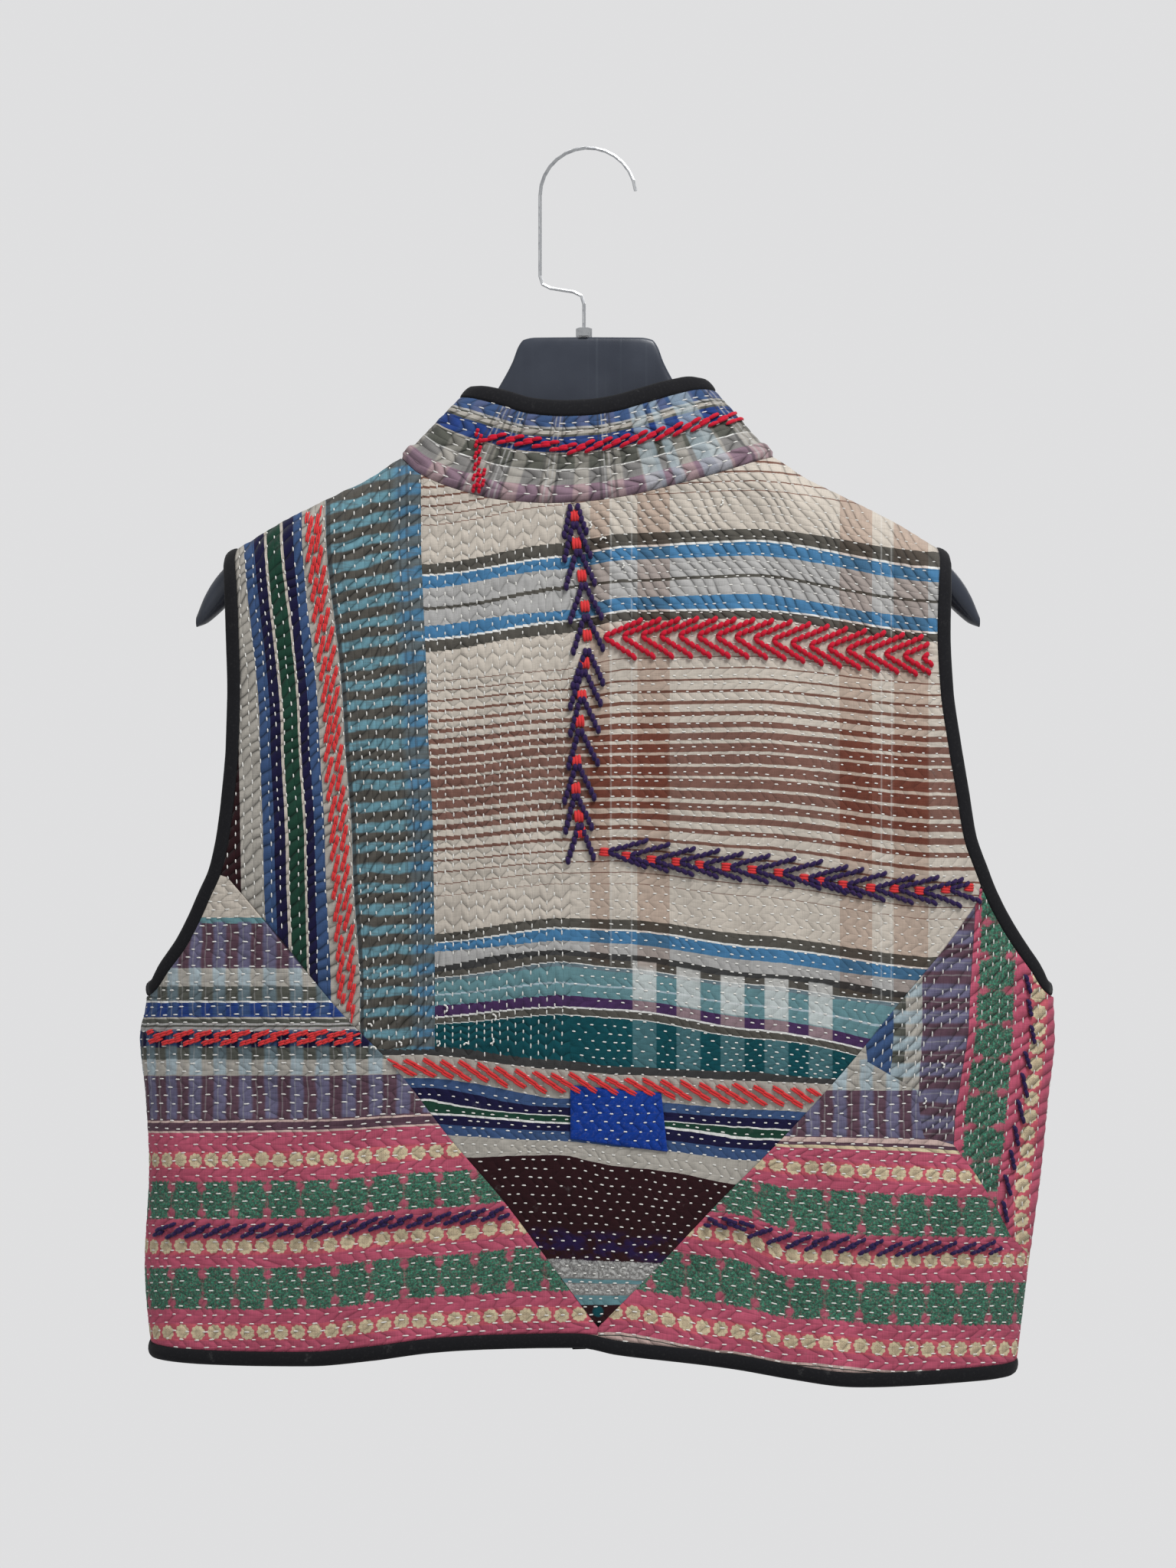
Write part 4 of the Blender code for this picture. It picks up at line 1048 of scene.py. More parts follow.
BORDER = (
    (1100, Dye.CREAM), (1196, Dye.TEAL), (1204, Dye.MAUVE), (1264, Dye.GREIGE), (1287, Dye.OLIVE),
    (1307, Dye.WHITE), (1309.5, Dye.ROYAL), (1327, Dye.GREIGE), (1331, Dye.OLIVE), (1334, Dye.ASH),
    (1338, Dye.OLIVE), (1341, Dye.ASH), (1345, Dye.NAVY), (1366, Dye.OLIVE), (1383, Dye.GREIGE),
    (1403, Dye.WHITE), (1405, Dye.MAUVE), (1462, Dye.BLUSH), (1464.5, Dye.MAUVE), (1475, Dye.BLUSH),
    (1478, Dye.PINK), (1767, Dye.BLUSH), (1770, Dye.PEWTER), (1772, Dye.BLUSH),
)
BORDER_LIT = (
    (1204, 1264, Dye.LILAC), (1264, 1287, Dye.MIST), (1287, 1307, Dye.SLATE), (1309, 1327, Dye.DENIM),
    (1345, 1366, Dye.DENIM), (1366, 1383, Dye.SLATE), (1383, 1404, Dye.MIST), (1405, 1462, Dye.LILAC),
)
BORDER_RIGHT = (
    (1380, Dye.GREIGE), (1424, Dye.MAUVE), (1484, Dye.BLUSH), (1490, Dye.MAUVE), (1496, Dye.SHELL),
    (1501, Dye.PINK), (1789, Dye.BLUSH), (1792, Dye.PEWTER), (1794, Dye.BLUSH),
)
STAND_RIGHT = (
    (1120, Dye.DENIM), (1167, Dye.OLIVE), (1182, Dye.GREIGE), (1204, Dye.MAUVE), (1264.5, Dye.PINK),
)
STAND_LIT = ((1167, 1204, Dye.MIST), (1204, 1264.5, Dye.LILAC))


@dataclass(frozen=True)
class BorderCotton(Cotton):
    """The lower panels: checks, and a rosy border with flower rows and leaf bands."""

    bold: float = 0.6
    slub: float = 0.6
    fade: float = 0.75
    stops: Sequence[tuple[float, Dye]] = BORDER
    low: float = 1100
    high: float = 1780
    lit: Sequence[tuple[float, float, Dye]] = BORDER_LIT
    flower_rows: Sequence[float] = (1515, 1628, 1740)
    flower_pitch: float = 22.6
    leaf_bands: Sequence[tuple[float, float]] = ((1543, 1592), (1656, 1710))
    leaf_pitch: float = 44.6
    check_period: float = 34.5
    flower_half: float = 11.0
    fine_shift: float = 11.0

    def colour(self, graph: Graph) -> Value:
        """The bands with their checks and motifs."""
        return self.banded(*graph.uv("bands"))

    def banded(self, vector: Value, u: Value, v: Value) -> Value:
        """Bands over v, with repeats along u."""
        graph = vector.graph
        v = uneven(v, vector, 2.2)
        colour = graph.bands(v, self.low, self.high, self.stops)
        wavy = uneven(u, vector, 7.0, 25.0)
        check = self.effects.stripes(wavy, self.check_period, 0.5, 0.12)
        fine = self.effects.stripes(wavy + self.fine_shift, self.check_period / 2, 0.1, 0.06)
        for low, high, dye in self.lit:
            inside = graph.between(v, low, high, 0.8)
            colour = graph.mix(check * inside * 0.85, colour, dye)
            colour = graph.mix(fine * inside * 0.3, colour, Dye.ASH)
        for low, high in self.leaf_bands:
            values = {"Across": v - (low + high) / 2, "Pitch": self.leaf_pitch, "Half": (high - low) / 2}
            leaves = graph.group(self.effects.foliage, Along=u, **values)
            colour = graph.mix(leaves["Leaf"] * 0.92, colour, graph.mix(leaves["Light"], Dye.MOSS, Dye.FERN))
        for centre in self.flower_rows:
            ground = graph.between(v, centre - self.flower_half, centre + self.flower_half)
            colour = graph.mix(ground * 0.6, colour, Dye.BLOOM)
            row = graph.group(self.effects.flowers, Along=u, Across=v, Centre=centre, Pitch=self.flower_pitch)
            colour = graph.mix(row["Flower"], colour, Dye.SHELL)
            colour = graph.mix(row["Heart"] * 0.45, colour, Dye.EARTH)
        return colour


@dataclass(frozen=True)
class CornerCotton(BorderCotton):
    """The lower right panel: the border turns a mitred corner and climbs the side."""

    stops: Sequence[tuple[float, Dye]] = BORDER_RIGHT
    low: float = 1380
    high: float = 1800
    lit: Sequence[tuple[float, float, Dye]] = ((1380, 1424, Dye.MIST), (1424, 1484, Dye.LILAC))
    flower_rows: Sequence[float] = (1532, 1647, 1762)
    leaf_bands: Sequence[tuple[float, float]] = ((1560, 1615), (1676, 1731))

    def quilting(self, graph: Graph) -> Value:
        """Lying rows below the mitre, upright rows beyond it."""
        _, u, v = graph.uv("bands")
        _, s, t = graph.uv("strips")
        lying = self.puckers(v, u, BORDER_LATTICE, self.bold)
        return graph.pick(graph.uv("mitre")[1] > 0.0, self.puckers(s, t, STAND_LATTICE), lying)

    def colour(self, graph: Graph) -> Value:
        """The lying border, the climbing one, and the mitre between them."""
        vector, s, t = graph.uv("strips")
        climbing = BorderCotton(
            self.name, self.effects, stops=STAND_RIGHT, low=1120, high=1430, lit=STAND_LIT,
            flower_rows=(1356,), leaf_bands=((1275, 1323.5), (1388, 1440)),
        ).banded(vector, t, s)
        return graph.mix(graph.uv("mitre")[1] > 0.0, climbing, super().colour(graph))


COLLAR_BANDS = (
    (0, Dye.DENIM), (38, Dye.ASH), (41, Dye.OLIVE), (43, Dye.GREIGE), (48, Dye.OLIVE), (51, Dye.ROYAL),
    (72, Dye.GREIGE), (74, Dye.OLIVE), (95, Dye.WHITE), (96.5, Dye.SAGE), (117, Dye.HEATHER),
)


@dataclass(frozen=True)
class CollarCotton(Cotton):
    """The collar: bands along it, crossed by upright plaid lines."""

    lattice: Lattice | None = COLLAR_LATTICE
    check_period: float = 39.0
    misty: Sequence[tuple[float, float]] = ((520, 540), (552, 566), (831, 852), (861, 873), (892, 922))
    plaid: Sequence[float] = (548.0, 638.0, 664.0, 722.0, 790.0, 952.0)
    plaid_lines: Sequence[tuple[float, float, Dye]] = (
        (-9.0, 3.0, Dye.SOOT), (-3.0, 2.0, Dye.ASH), (3.0, 2.0, Dye.ASH), (8.0, 3.0, Dye.SOOT),
    )

    def colour(self, graph: Graph) -> Value:
        """Bands over the collar's height, crossed by lines along its length."""
        vector, u, v = graph.uv("bands")
        v = uneven(v, vector, 3.0, 40.0)
        colour = graph.bands(v, 0, 140, COLLAR_BANDS)
        broad = self.effects.stripes(uneven(u, vector, 5.0, 30.0), self.check_period, 0.44, 0.08)
        pale = graph.mix(v > 117.0, Dye.GREIGE, Dye.BLUSH)
        pale = graph.mix(graph.between(v, 51.0, 72.0), pale, Dye.DENIM)
        pale = graph.mix(v < 38.0, pale, Dye.LILAC)
        strong = graph.ease(v, 94.0, 97.0, 0.35, 0.7) * graph.ease(v, 115.0, 118.0, 1.0, 0.5)
        colour = graph.mix(broad * strong, colour, pale)
        for low, high in self.misty:
            colour = graph.mix(graph.between(u, low, high, 1.5) * 0.5, colour, Dye.MIST)
        for centre in self.plaid:
            for place, wide, dye in self.plaid_lines:
                line = graph.between(u, centre + place, centre + place + wide, 0.8)
                colour = graph.mix(line * 0.55, colour, dye)
        return colour


@dataclass(frozen=True)
class PlainCotton(Cotton):
    """One dyed cotton."""

    lattice: Lattice | None = None
    dye: Dye = Dye.COBALT
    pale: float = 0.1

    def colour(self, graph: Graph) -> Value:
        """The dye, a little paler on raised threads."""
        raised = graph.ease(graph.noise(graph.uv("bands")[0], 300.0, 2.0), 0.5, 0.8)
        return graph.mix(raised * self.pale, self.dye, Dye.ASH)


@dataclass(frozen=True)
class LiningCotton(Cotton):
    """The inside: washed cream and rosy cotton with rows of stitches."""

    def colour(self, graph: Graph) -> Value:
        """Broad faded stripes with pale dashes."""
        _, u, v = graph.uv("bands")
        colour = graph.mix(self.effects.stripes(v, 96.0, 0.4, 0.03), Dye.CREAM, Dye.BLUSH)
        row = self.effects.stripes(v, self.lattice.row, 0.16, 0.05)
        dash = self.effects.stripes(u, self.lattice.pitch, 0.36, 0.05)
        return graph.mix(row * dash, colour, Dye.WHITE)


@dataclass(frozen=True)
class Yarn:
    """Finish of an embroidery wool or sewing thread, twisted along its strokes."""

    name: str
    dye: Dye
    light: Dye

    def material(self) -> bpy.types.Material:
        """The finished material."""
        made, graph, shader = principled(self.name, 0.85, 0.12)
        place = graph.place()
        fuzz = graph.noise(place, 900.0, 2.0, 0.6)
        colour = graph.mix(graph.ease(fuzz, 0.35, 0.8), self.dye, self.light)
        shade = graph.ease(graph.noise(place, 60.0, 2.0), 0.3, 0.7, 0.0, 0.35)
        graph.put(shader.inputs["Base Color"], graph.mix(shade, colour, self.dye))
        graph.bump(shader, fuzz, 0.4, 0.0004)
        return made


@dataclass(frozen=True)
class Moulding:
    """Finish of the hanger's blue-black plastic, with faint scuffs."""

    name: str = "scuffed_moulding"
    dark: tuple[float, ...] = (0.030, 0.036, 0.052, 1)
    light: tuple[float, ...] = (0.042, 0.05, 0.07, 1)

    def material(self) -> bpy.types.Material:
        """The finished material."""
        made, graph, shader = principled(self.name, 0.3)
        place = graph.place()
        scuff = graph.ease(graph.noise(graph.stretch(place, 300, 60), 1.0, 4.0, 0.7), 0.55, 0.8)
        cloud = graph.noise(place, 25.0, 3.0)
        colour = graph.mix(graph.ease(cloud, 0.3, 0.7), self.dark, self.light)
        graph.put(shader.inputs["Base Color"], graph.mix(scuff * 0.12, colour, Dye.SLATE))
        graph.put(shader.inputs["Roughness"], scuff * 0.25 + graph.ease(cloud, 0.3, 0.7, 0.26, 0.36))
        shader.inputs["Specular IOR Level"].default_value = GLOSSY
        graph.bump(shader, graph.noise(place, 500.0, 3.0), 0.12, 0.0003)
        return made


@dataclass(frozen=True)
class PlatedWire:
    """Finish of the bright wire and nut, with fine drawing marks."""

    name: str = "bright_wire"
    bright: tuple[float, ...] = (0.72, 0.73, 0.74, 1)
    dim: tuple[float, ...] = (0.5, 0.51, 0.53, 1)

    def material(self) -> bpy.types.Material:
        """The finished material."""
        made, graph, shader = principled(self.name, 0.22)
        shader.inputs["Metallic"].default_value = 1.0
        shader.inputs["Specular IOR Level"].default_value = GLOSSY
        dull = graph.noise(graph.place(), 420.0, 3.0, 0.6)
        graph.put(shader.inputs["Base Color"], graph.mix(graph.ease(dull, 0.4, 0.7), self.bright, self.dim))
        graph.put(shader.inputs["Roughness"], graph.ease(dull, 0.3, 0.7, 0.16, 0.34))
        return made


# Meshes


def add_mesh(
    name: str, points: Array, faces: Sequence[Sequence[int]], materials: Sequence[bpy.types.Material]
) -> bpy.types.Object:
    """A smooth object in metres from points in millimetres."""
    mesh = bpy.data.meshes.new(name)
    rows = faces if isinstance(faces, list) else faces.tolist()
    mesh.from_pydata((np.asarray(points) * MM).tolist(), [], rows)
    for item in materials:
        mesh.materials.append(item)
    mesh.shade_smooth()
    made = bpy.data.objects.new(name, mesh)
    bpy.context.scene.collection.objects.link(made)
    return made


def face_outward(made: bpy.types.Object) -> None:
    """Recalculates an object's normals to face outward."""
    bpy.ops.object.select_all(action="DESELECT")
    bpy.context.view_layer.objects.active = made
    made.select_set(True)
    bpy.ops.object.mode_set(mode="EDIT")
    bpy.ops.mesh.select_all(action="SELECT")
    bpy.ops.mesh.normals_make_consistent(inside=False)
    bpy.ops.object.mode_set(mode="OBJECT")


def declare(piece: bpy.types.Object, node: str) -> bpy.types.Object:
    """Attaches a finished piece to the root and hides the solid that it replaces."""
    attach(piece, "root")
    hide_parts(node)
    return piece


def put_uv(made: bpy.types.Object, name: str, values: Array) -> None:
    """Stores one pair of values for each vertex as a UV layer, in thousandths."""
    layer = made.data.uv_layers.new(name=name)
    corners = np.zeros(len(made.data.loops), np.int32)
    made.data.loops.foreach_get("vertex_index", corners)
    layer.uv.foreach_set("vector", (values[corners] / 1000.0).astype(np.float32).ravel())


def grid_faces(rows: int, columns: int, first: int = 0) -> Array:
    """Quads of a grid of vertices."""
    here = (np.arange(rows - 1)[:, None] * columns + np.arange(columns - 1)[None, :]).ravel() + first
    return np.stack((here, here + 1, here + columns + 1, here + columns), -1)


def tube_faces(rings: int, size: int, closed: bool = False) -> list[tuple[int, ...]]:
    """Faces of a tube of equal rings, capped at its ends unless it closes on itself."""
    faces = []
    for i in range(rings if closed else rings - 1):
        here, after = i * size, (i + 1) % rings * size
        faces += [(here + j, here + (j + 1) % size, after + (j + 1) % size, after + j) for j in range(size)]
    if not closed:
        faces += [tuple(range(size))[::-1], tuple(range((rings - 1) * size, rings * size))]
    return faces


def rim(rows: int, columns: int) -> Array:
    """Vertex numbers once round the edge of a grid."""
    top = np.arange(columns)
    right = np.arange(1, rows) * columns + columns - 1
    bottom = (rows - 1) * columns + np.arange(columns - 2, -1, -1)
    left = np.arange(rows - 2, 0, -1) * columns
    return np.concatenate((top, right, bottom, left))


def from_edge(rows: int, columns: int) -> tuple[Array, Array]:
    """How many rows and how many columns each place of a grid is from its nearest edge."""
    row, column = np.arange(rows), np.arange(columns)
    return np.minimum(row, row[::-1])[:, None], np.minimum(column, column[::-1])[None, :]


def travelled(line: Array) -> Array:
    """Distance along a line of points, from its start."""
    return np.concatenate(([0.0], np.cumsum(np.linalg.norm(np.diff(line, axis=0), axis=1))))


def soften(directions: Array, times: int, ring: bool = False) -> Array:
    """Evens out directions along a line, or round a ring."""
    made = directions.copy()
    for _ in range(times):
        if ring:
            made = unit(np.roll(made, 1, 0) + 2 * made + np.roll(made, -1, 0))
        else:
            made[1:-1] = unit(made[:-2] + 2 * made[1:-1] + made[2:])
    return made


def read_along(at: Array, travel: Array, values: Array) -> Array:
    """Points or directions at distances along a line."""
    return np.stack([np.interp(at, travel, values[:, k]) for k in range(3)], -1)


def evenly(line: Array, step: float, *others: Array) -> list[Array]:
    """A line of points and what goes with them, spaced evenly along the line."""
    travel = travelled(line)
    count = max(int(round(travel[-1] / step)), 2)
    at = np.linspace(0, travel[-1], count + 1)
    return [read_along(at, travel, values) for values in (line, *others)]


@dataclass
class Stitching:
    """Rows of running stitches on a grid of cloth: a row at each whole number of across.

    Stitches lie where along plus half of the row's number is whole, so that neighbours are staggered.
    """

    across: Array
    along: Array
    where: Array
    lattice: Lattice
    upright: bool = False

    @classmethod
    def on(
        cls, lattice: Lattice, across: Array, along: Array, where: Array, sway: Array, upright: bool = False
    ) -> "Stitching":
        """Rows of a lattice over chart places, swaying a little."""
        rows, turns = across / lattice.row + sway[..., 0], along / lattice.pitch + sway[..., 1]
        return cls(rows, turns, where, lattice, upright)

    def relief(self) -> Array:
        """Height of the cloth above its lowest places; the puckers slant from stitch to stitch."""
        strong = np.abs(np.sin(math.pi * (self.along + self.across / 2)))
        weak = np.abs(np.sin(math.pi * (self.along - self.across / 2)))
        return self.lattice.depth * strong**0.7 * (0.4 + 0.6 * weak)


class Sheet:
    """A grid of cloth with its quilting, chart places and stitches; its inside has fewer rows and columns."""

    coarse = 3
    edge_rows = 2.0
    sway_size = (0.14, 95.0)
    drift_size = (0.3, 60.0)
    whole_cloth = 0.98
    slip = 0.08
    missed = 0.02
    lengths = (0.75, 1.25)

    def __init__(self, name: str, points: Array, out: Array, seen: Array, wall: float = 2.2) -> None:
        """Takes the grid of the cloth's outside, its outward directions and its chart places."""
        self.name, self.base, self.out, self.seen, self.wall = name, points, out, seen, wall
        self.points = points
        self.sway = np.zeros(seen.shape)
        self.stitching: list[Stitching] = []

    @property
    def shape(self) -> tuple[int, int]:
        """Rows and columns."""
        return self.base.shape[:2]

    @property
    def area(self) -> float:
        """Area of the cloth without its puckers, in square metres."""
        across, down = np.diff(self.base, axis=1)[:-1], np.diff(self.base, axis=0)[:, :-1]
        return float(np.linalg.norm(np.cross(across, down), axis=-1).sum()) * 1e-6

    def wander(self, seed: int) -> Array:
        """Lets the rows of stitches sway, and the stitches drift along them."""
        x, y = self.seen[..., 0], self.seen[..., 1]
        (sway, slow), (drift, quick) = self.sway_size, self.drift_size
        self.sway = np.stack((sway * ripple(x, y, slow, seed), drift * ripple(x, y, quick, seed + 50)), -1)
        return self.sway

    def quilt(self, stitching: Sequence[Stitching], plain: float = 0.6, lift: Array | float = 0.0) -> None:
        """Raises the cloth between its stitches; edges stay low."""
        self.stitching = list(stitching)
        height = np.full(self.shape, plain)
        for item in self.stitching:
            height = np.where(item.where, item.relief(), height)
        around = np.pad(height, 1, mode="edge")
        beside = around[:-2, 1:-1] + around[2:, 1:-1] + around[1:-1, :-2] + around[1:-1, 2:]
        height = (beside + 6 * height) / 10
        row, column = from_edge(*self.shape)
        edge = np.minimum(smooth(row / self.edge_rows), smooth(column / self.edge_rows))
        self.points = self.base + self.out * ((height + lift) * edge)[..., None]

    def build(self, materials: Sequence[bpy.types.Material], layers: dict[str, Array]) -> bpy.types.Object:
        """The closed mesh: fine quilted outside, plain coarser inside, and the edge between them."""
        rows, columns = self.shape
        outer = self.points.reshape(-1, 3)
        inner = (self.base - self.out * self.wall)[::self.coarse, ::self.coarse]
        few, narrow = inner.shape[:2]
        outside = grid_faces(rows, columns)
        inside = grid_faces(few, narrow, len(outer))[:, ::-1]
        fine, rough = rim(rows, columns), rim(few, narrow) + len(outer)
        edge = []
        for i in range(len(rough)):
            run = [int(fine[(i * self.coarse + k) % len(fine)]) for k in range(self.coarse + 1)]
            edge.append([*run, int(rough[(i + 1) % len(rough)]), int(rough[i])])
        faces = outside.tolist() + inside.tolist() + edge
        made = add_mesh(f"{self.name}_quilt", np.concatenate((outer, inner.reshape(-1, 3))), faces, materials)
        flags = np.zeros(len(made.data.polygons), np.int32)
        flags[len(outside):len(outside) + len(inside)] = len(materials) - 1
        made.data.polygons.foreach_set("material_index", flags)
        for name, values in {**layers, "sway": self.sway}.items():
            few = values[::self.coarse, ::self.coarse]
            put_uv(made, name, np.concatenate((values.reshape(-1, 2), few.reshape(-1, 2))))
        face_outward(made)
        return made

    def dashes(self, rng: np.random.Generator) -> Array:
        """Four places along every running stitch, and the direction out: an array of stitches by 5 by 3."""
        found = []
        for item in self.stitching:
            across, along, where = item.across, item.along, item.where.astype(float)
            points, out = self.points, self.out
            if item.upright:
                across, along, where = across.T, along.T, where.T
                points, out = points.transpose(1, 0, 2), out.transpose(1, 0, 2)
            if across[-1].mean() < across[0].mean():
                grids = (across, along, where, points, out)
                across, along, where, points, out = (values[::-1] for values in grids)
            size, wide = across.shape
            columns = np.arange(wide)
            for number in range(math.ceil(across.min()), math.floor(across.max()) + 1):
                below = np.sum(across < number, axis=0)
                valid = (below > 0) & (below < size)
                after = np.clip(below, 1, size - 1)
                before = after - 1
                start, end = across[before, columns], across[after, columns]
                share = np.clip((number - start) / np.maximum(end - start, 1e-6), 0, 1)

                def read(values: Array) -> Array:
                    """Values of a grid where the row of stitches crosses its columns."""
                    part = share if values.ndim == 2 else share[:, None]
                    return values[before, columns] * (1 - part) + values[after, columns] * part

                line, face, place = read(points), read(out), read(along)
                keep = valid & (read(where) > self.whole_cloth)
                if keep.sum() < 3:
                    continue
                found += self._on_line(line, face, place, keep, number, item.lattice.length, rng)
        return np.concatenate(found) if found else np.zeros((0, 5, 3))

    def _on_line(
        self, line: Array, face: Array, place: Array, keep: Array, number: int, length: float,
        rng: np.random.Generator
    ) -> list[Array]:
        """Stitches along one row."""
        travel = travelled(line)
        if place[-1] < place[0]:
            place, line, face, keep = place[::-1], line[::-1], face[::-1], keep[::-1]
            travel = travel[-1] - travel[::-1]
        place = np.maximum.accumulate(place + np.arange(len(place)) * 1e-7)
        stagger = 0.5 * number
        whole = np.arange(math.ceil(place[0] + stagger), math.floor(place[-1] + stagger) + 1) - stagger
        if not len(whole):
            return []
        whole = whole + rng.uniform(-self.slip, self.slip, len(whole))
        centre = np.interp(whole, place, travel)
        good = np.interp(centre, travel, keep.astype(float)) > self.whole_cloth
        centre = centre[good & (rng.random(len(whole)) > self.missed)]
        if not len(centre):
            return []
        half = 0.5 * length * rng.uniform(*self.lengths, len(centre))
        rows = [read_along(centre + half * share, travel, line) for share in (-1.0, -0.45, 0.45, 1.0)]
        return [np.stack([*rows, read_along(centre, travel, face)], 1)]


class Thread:
    """Joined mesh of many small stitches or wool strokes."""

    # share of a stroke's length, of its width and of its rise
    stroke_rings = (
        (0.0, 0.35, -0.15), (0.14, 0.85, 0.55), (0.5, 1.0, 1.0), (0.86, 0.85, 0.55), (1.0, 0.35, -0.15),
    )
    flatness = 0.85
    sunk = 0.2
    belly = 0.4

    def __init__(self, name: str, width: float = 0.8, height: float = 0.46) -> None:
        """Takes a name, and the size of its running stitches."""
        self.name, self.width, self.height = name, width, height
        self.points: list[Array] = []
        self.faces: list[Array] = []
        self.count = 0

    def add_dashes(self, dashes: Array) -> None:
        """Adds running stitches, each a low ridge that dives into the cloth at its ends."""
        if not len(dashes):
            return
        start, first, second, end, out = (dashes[:, k] for k in range(5))
        out = unit(out)
        side = unit(np.cross(end - start, out)) * self.width / 2
        lift = out * self.height
        rings = [start - out * self.sunk]
        for middle in (first, second):
            rings += [middle + side, middle + lift, middle - side, middle - lift * self.belly]
        rings.append(end - out * self.sunk)
        block = np.stack(rings, 1)
        shape = [(0, 2, 1), (0, 3, 2), (0, 4, 3), (0, 1, 4), (9, 5, 6), (9, 6, 7), (9, 7, 8), (9, 8, 5)]
        for j in range(4):
            k = (j + 1) % 4
            shape += [(1 + j, 1 + k, 5 + k), (1 + j, 5 + k, 5 + j)]
        self._store(block, np.array(shape))

    def add_strokes(self, start: Array, end: Array, out: Array, width: float, rise: float = 0.9) -> None:
        """Adds plump strokes from start to end, round in section and sunk at both ends."""
        start, end, out = np.atleast_2d(start), np.atleast_2d(end), unit(np.atleast_2d(out))
        along = end - start
        side = unit(np.cross(along, out))
        rings = []
        for share, wide, high in self.stroke_rings:
            middle = start + along * share + out * (rise * high * width / 2)
            radius = width / 2 * wide
            for j in range(6):
                turn = 2 * math.pi * j / 6
                lift = out * radius * self.flatness * math.sin(turn)
                rings.append(middle + side * radius * math.cos(turn) + lift)
        block = np.stack(rings, 1)
        shape = []
        for i in range(4):
            for j in range(6):
                k = (j + 1) % 6
                shape += [(i * 6 + j, i * 6 + k, i * 6 + 6 + k), (i * 6 + j, i * 6 + 6 + k, i * 6 + 6 + j)]
        for i, flip in ((0, True), (24, False)):
            fan = [(i, i + j, i + j + 1) for j in range(1, 5)]
            shape += [tuple(reversed(item)) for item in fan] if flip else fan
        self._store(block, np.array(shape))

    def _store(self, block: Array, shape: Array) -> None:
        """Keeps the points and faces of many copies of one small form."""
        copies, size = block.shape[:2]
        self.points.append(block.reshape(-1, 3))
        first = self.count + np.arange(copies) * size
        self.faces.append((shape[None] + first[:, None, None]).reshape(-1, 3))
        self.count += copies * size

    def build(self, material: bpy.types.Material) -> bpy.types.Object:
        """The joined mesh."""
        return add_mesh(self.name, np.concatenate(self.points), np.concatenate(self.faces), [material])


# Sub-assemblies


@dataclass
class Looks:
    """All finishes, made once."""

    effects: Effects = field(default_factory=Effects)

    def __post_init__(self) -> None:
        """Makes the materials."""
        effects = self.effects
        self.field = FieldCotton("striped_cotton", effects).material()
        self.front = FrontCotton("front_cotton", effects).material()
        self.border = BorderCotton("border_cotton", effects).material()
        self.front_border = BorderCotton("front_border_cotton", effects, FRONT_LATTICE).material()
        self.corner = CornerCotton("corner_cotton", effects).material()
        self.collar = CollarCotton("collar_cotton", effects).material()
        self.lining = LiningCotton("lining_cotton", effects).material()
        self.blue = PlainCotton("blue_cotton", effects, PATCH_LATTICE, bold=0.55).material()
        black = PlainCotton("black_cotton", effects, slub=0.15, fade=0.2, puff=0.0004, dye=Dye.INK, pale=0.02)
        self.ink = black.material()
        self.thread = Yarn("white_thread", Dye.THREAD, Dye.WHITE).material()
        self.navy = Yarn("navy_wool", Dye.INDIGO, Dye.PLUM).material()
        self.coral = Yarn("coral_wool", Dye.CORAL, Dye.CORAL).material()
        self.crimson = Yarn("crimson_wool", Dye.CRIMSON, Dye.CRIMSON).material()
        self.moulding = Moulding().material()
        self.wire = PlatedWire().material()


FIELD_WARP = Warp(
    (560, 729, 816, 987, 1216),
    (
        (600, 640, 614, 600, 594, 624), (697, 737, 710, 697, 691, 721), (714, 751, 727.5, 714, 705.5, 742),
        (731, 768, 743.5, 731, 725.5, 760), (757, 793, 766.3, 757, 749.5, 784),
        (780, 817, 798.5, 780, 775, 807), (797, 834, 811, 797, 796, 826), (811, 852, 828.4, 811, 808, 838),
        (861, 890, 876, 861, 858, 880), (985, 1002, 987, 985, 983, 1002),
        (1120, 1135, 1122, 1120, 1135, 1165), (1200, 1220, 1198, 1200, 1220, 1249),
        (1214, 1231, 1211, 1214, 1236, 1264), (1232, 1242, 1228, 1232, 1254, 1281),
        (1246, 1263, 1240, 1246, 1271, 1299), (1262, 1275, 1253, 1262, 1283, 1309),
        (1305, 1313, 1299, 1305, 1330, 1374), (1318, 1328, 1314, 1318, 1344, 1387),
        (1331, 1338, 1325, 1331, 1357, 1398), (1396, 1368, 1387, 1396, 1402, 1412),
        (1403, 1377, 1396, 1403, 1411, 1425), (1424, 1403, 1419, 1424, 1437, 1452),
        (1436, 1407.5, 1434, 1436, 1449, 1463), (1449, 1420, 1446, 1449, 1460, 1474),
        (1460, 1433.5, 1455, 1460, 1470.5, 1484), (1469, 1454, 1466, 1469, 1487, 1500),
        (1472, 1457, 1468.5, 1472, 1490, 1504), (1484, 1468, 1477, 1484, 1501, 1515),
        (1498, 1481, 1490, 1498, 1516, 1530), (1524, 1514, 1508, 1524, 1550, 1565),
        (1640, 1640, 1638, 1642, 1652, 1660), (1706, 1706, 1706, 1706, 1706, 1706),
    ),
)
STRIP_WARP = Warp(
    (700, 945, 1100, 1291),
    (
        (311, 301, 311, 314, 318), (339, 318, 339, 344, 350), (353, 331, 353, 359, 364),
        (367, 345, 367, 374, 379), (388.5, 365, 388.5, 397, 401), (403, 383, 403, 411, 415),
        (415.5, 394, 415.5, 424, 432), (448, 425, 448, 459, 470), (559, 550, 559, 566, 568),
    ),
)
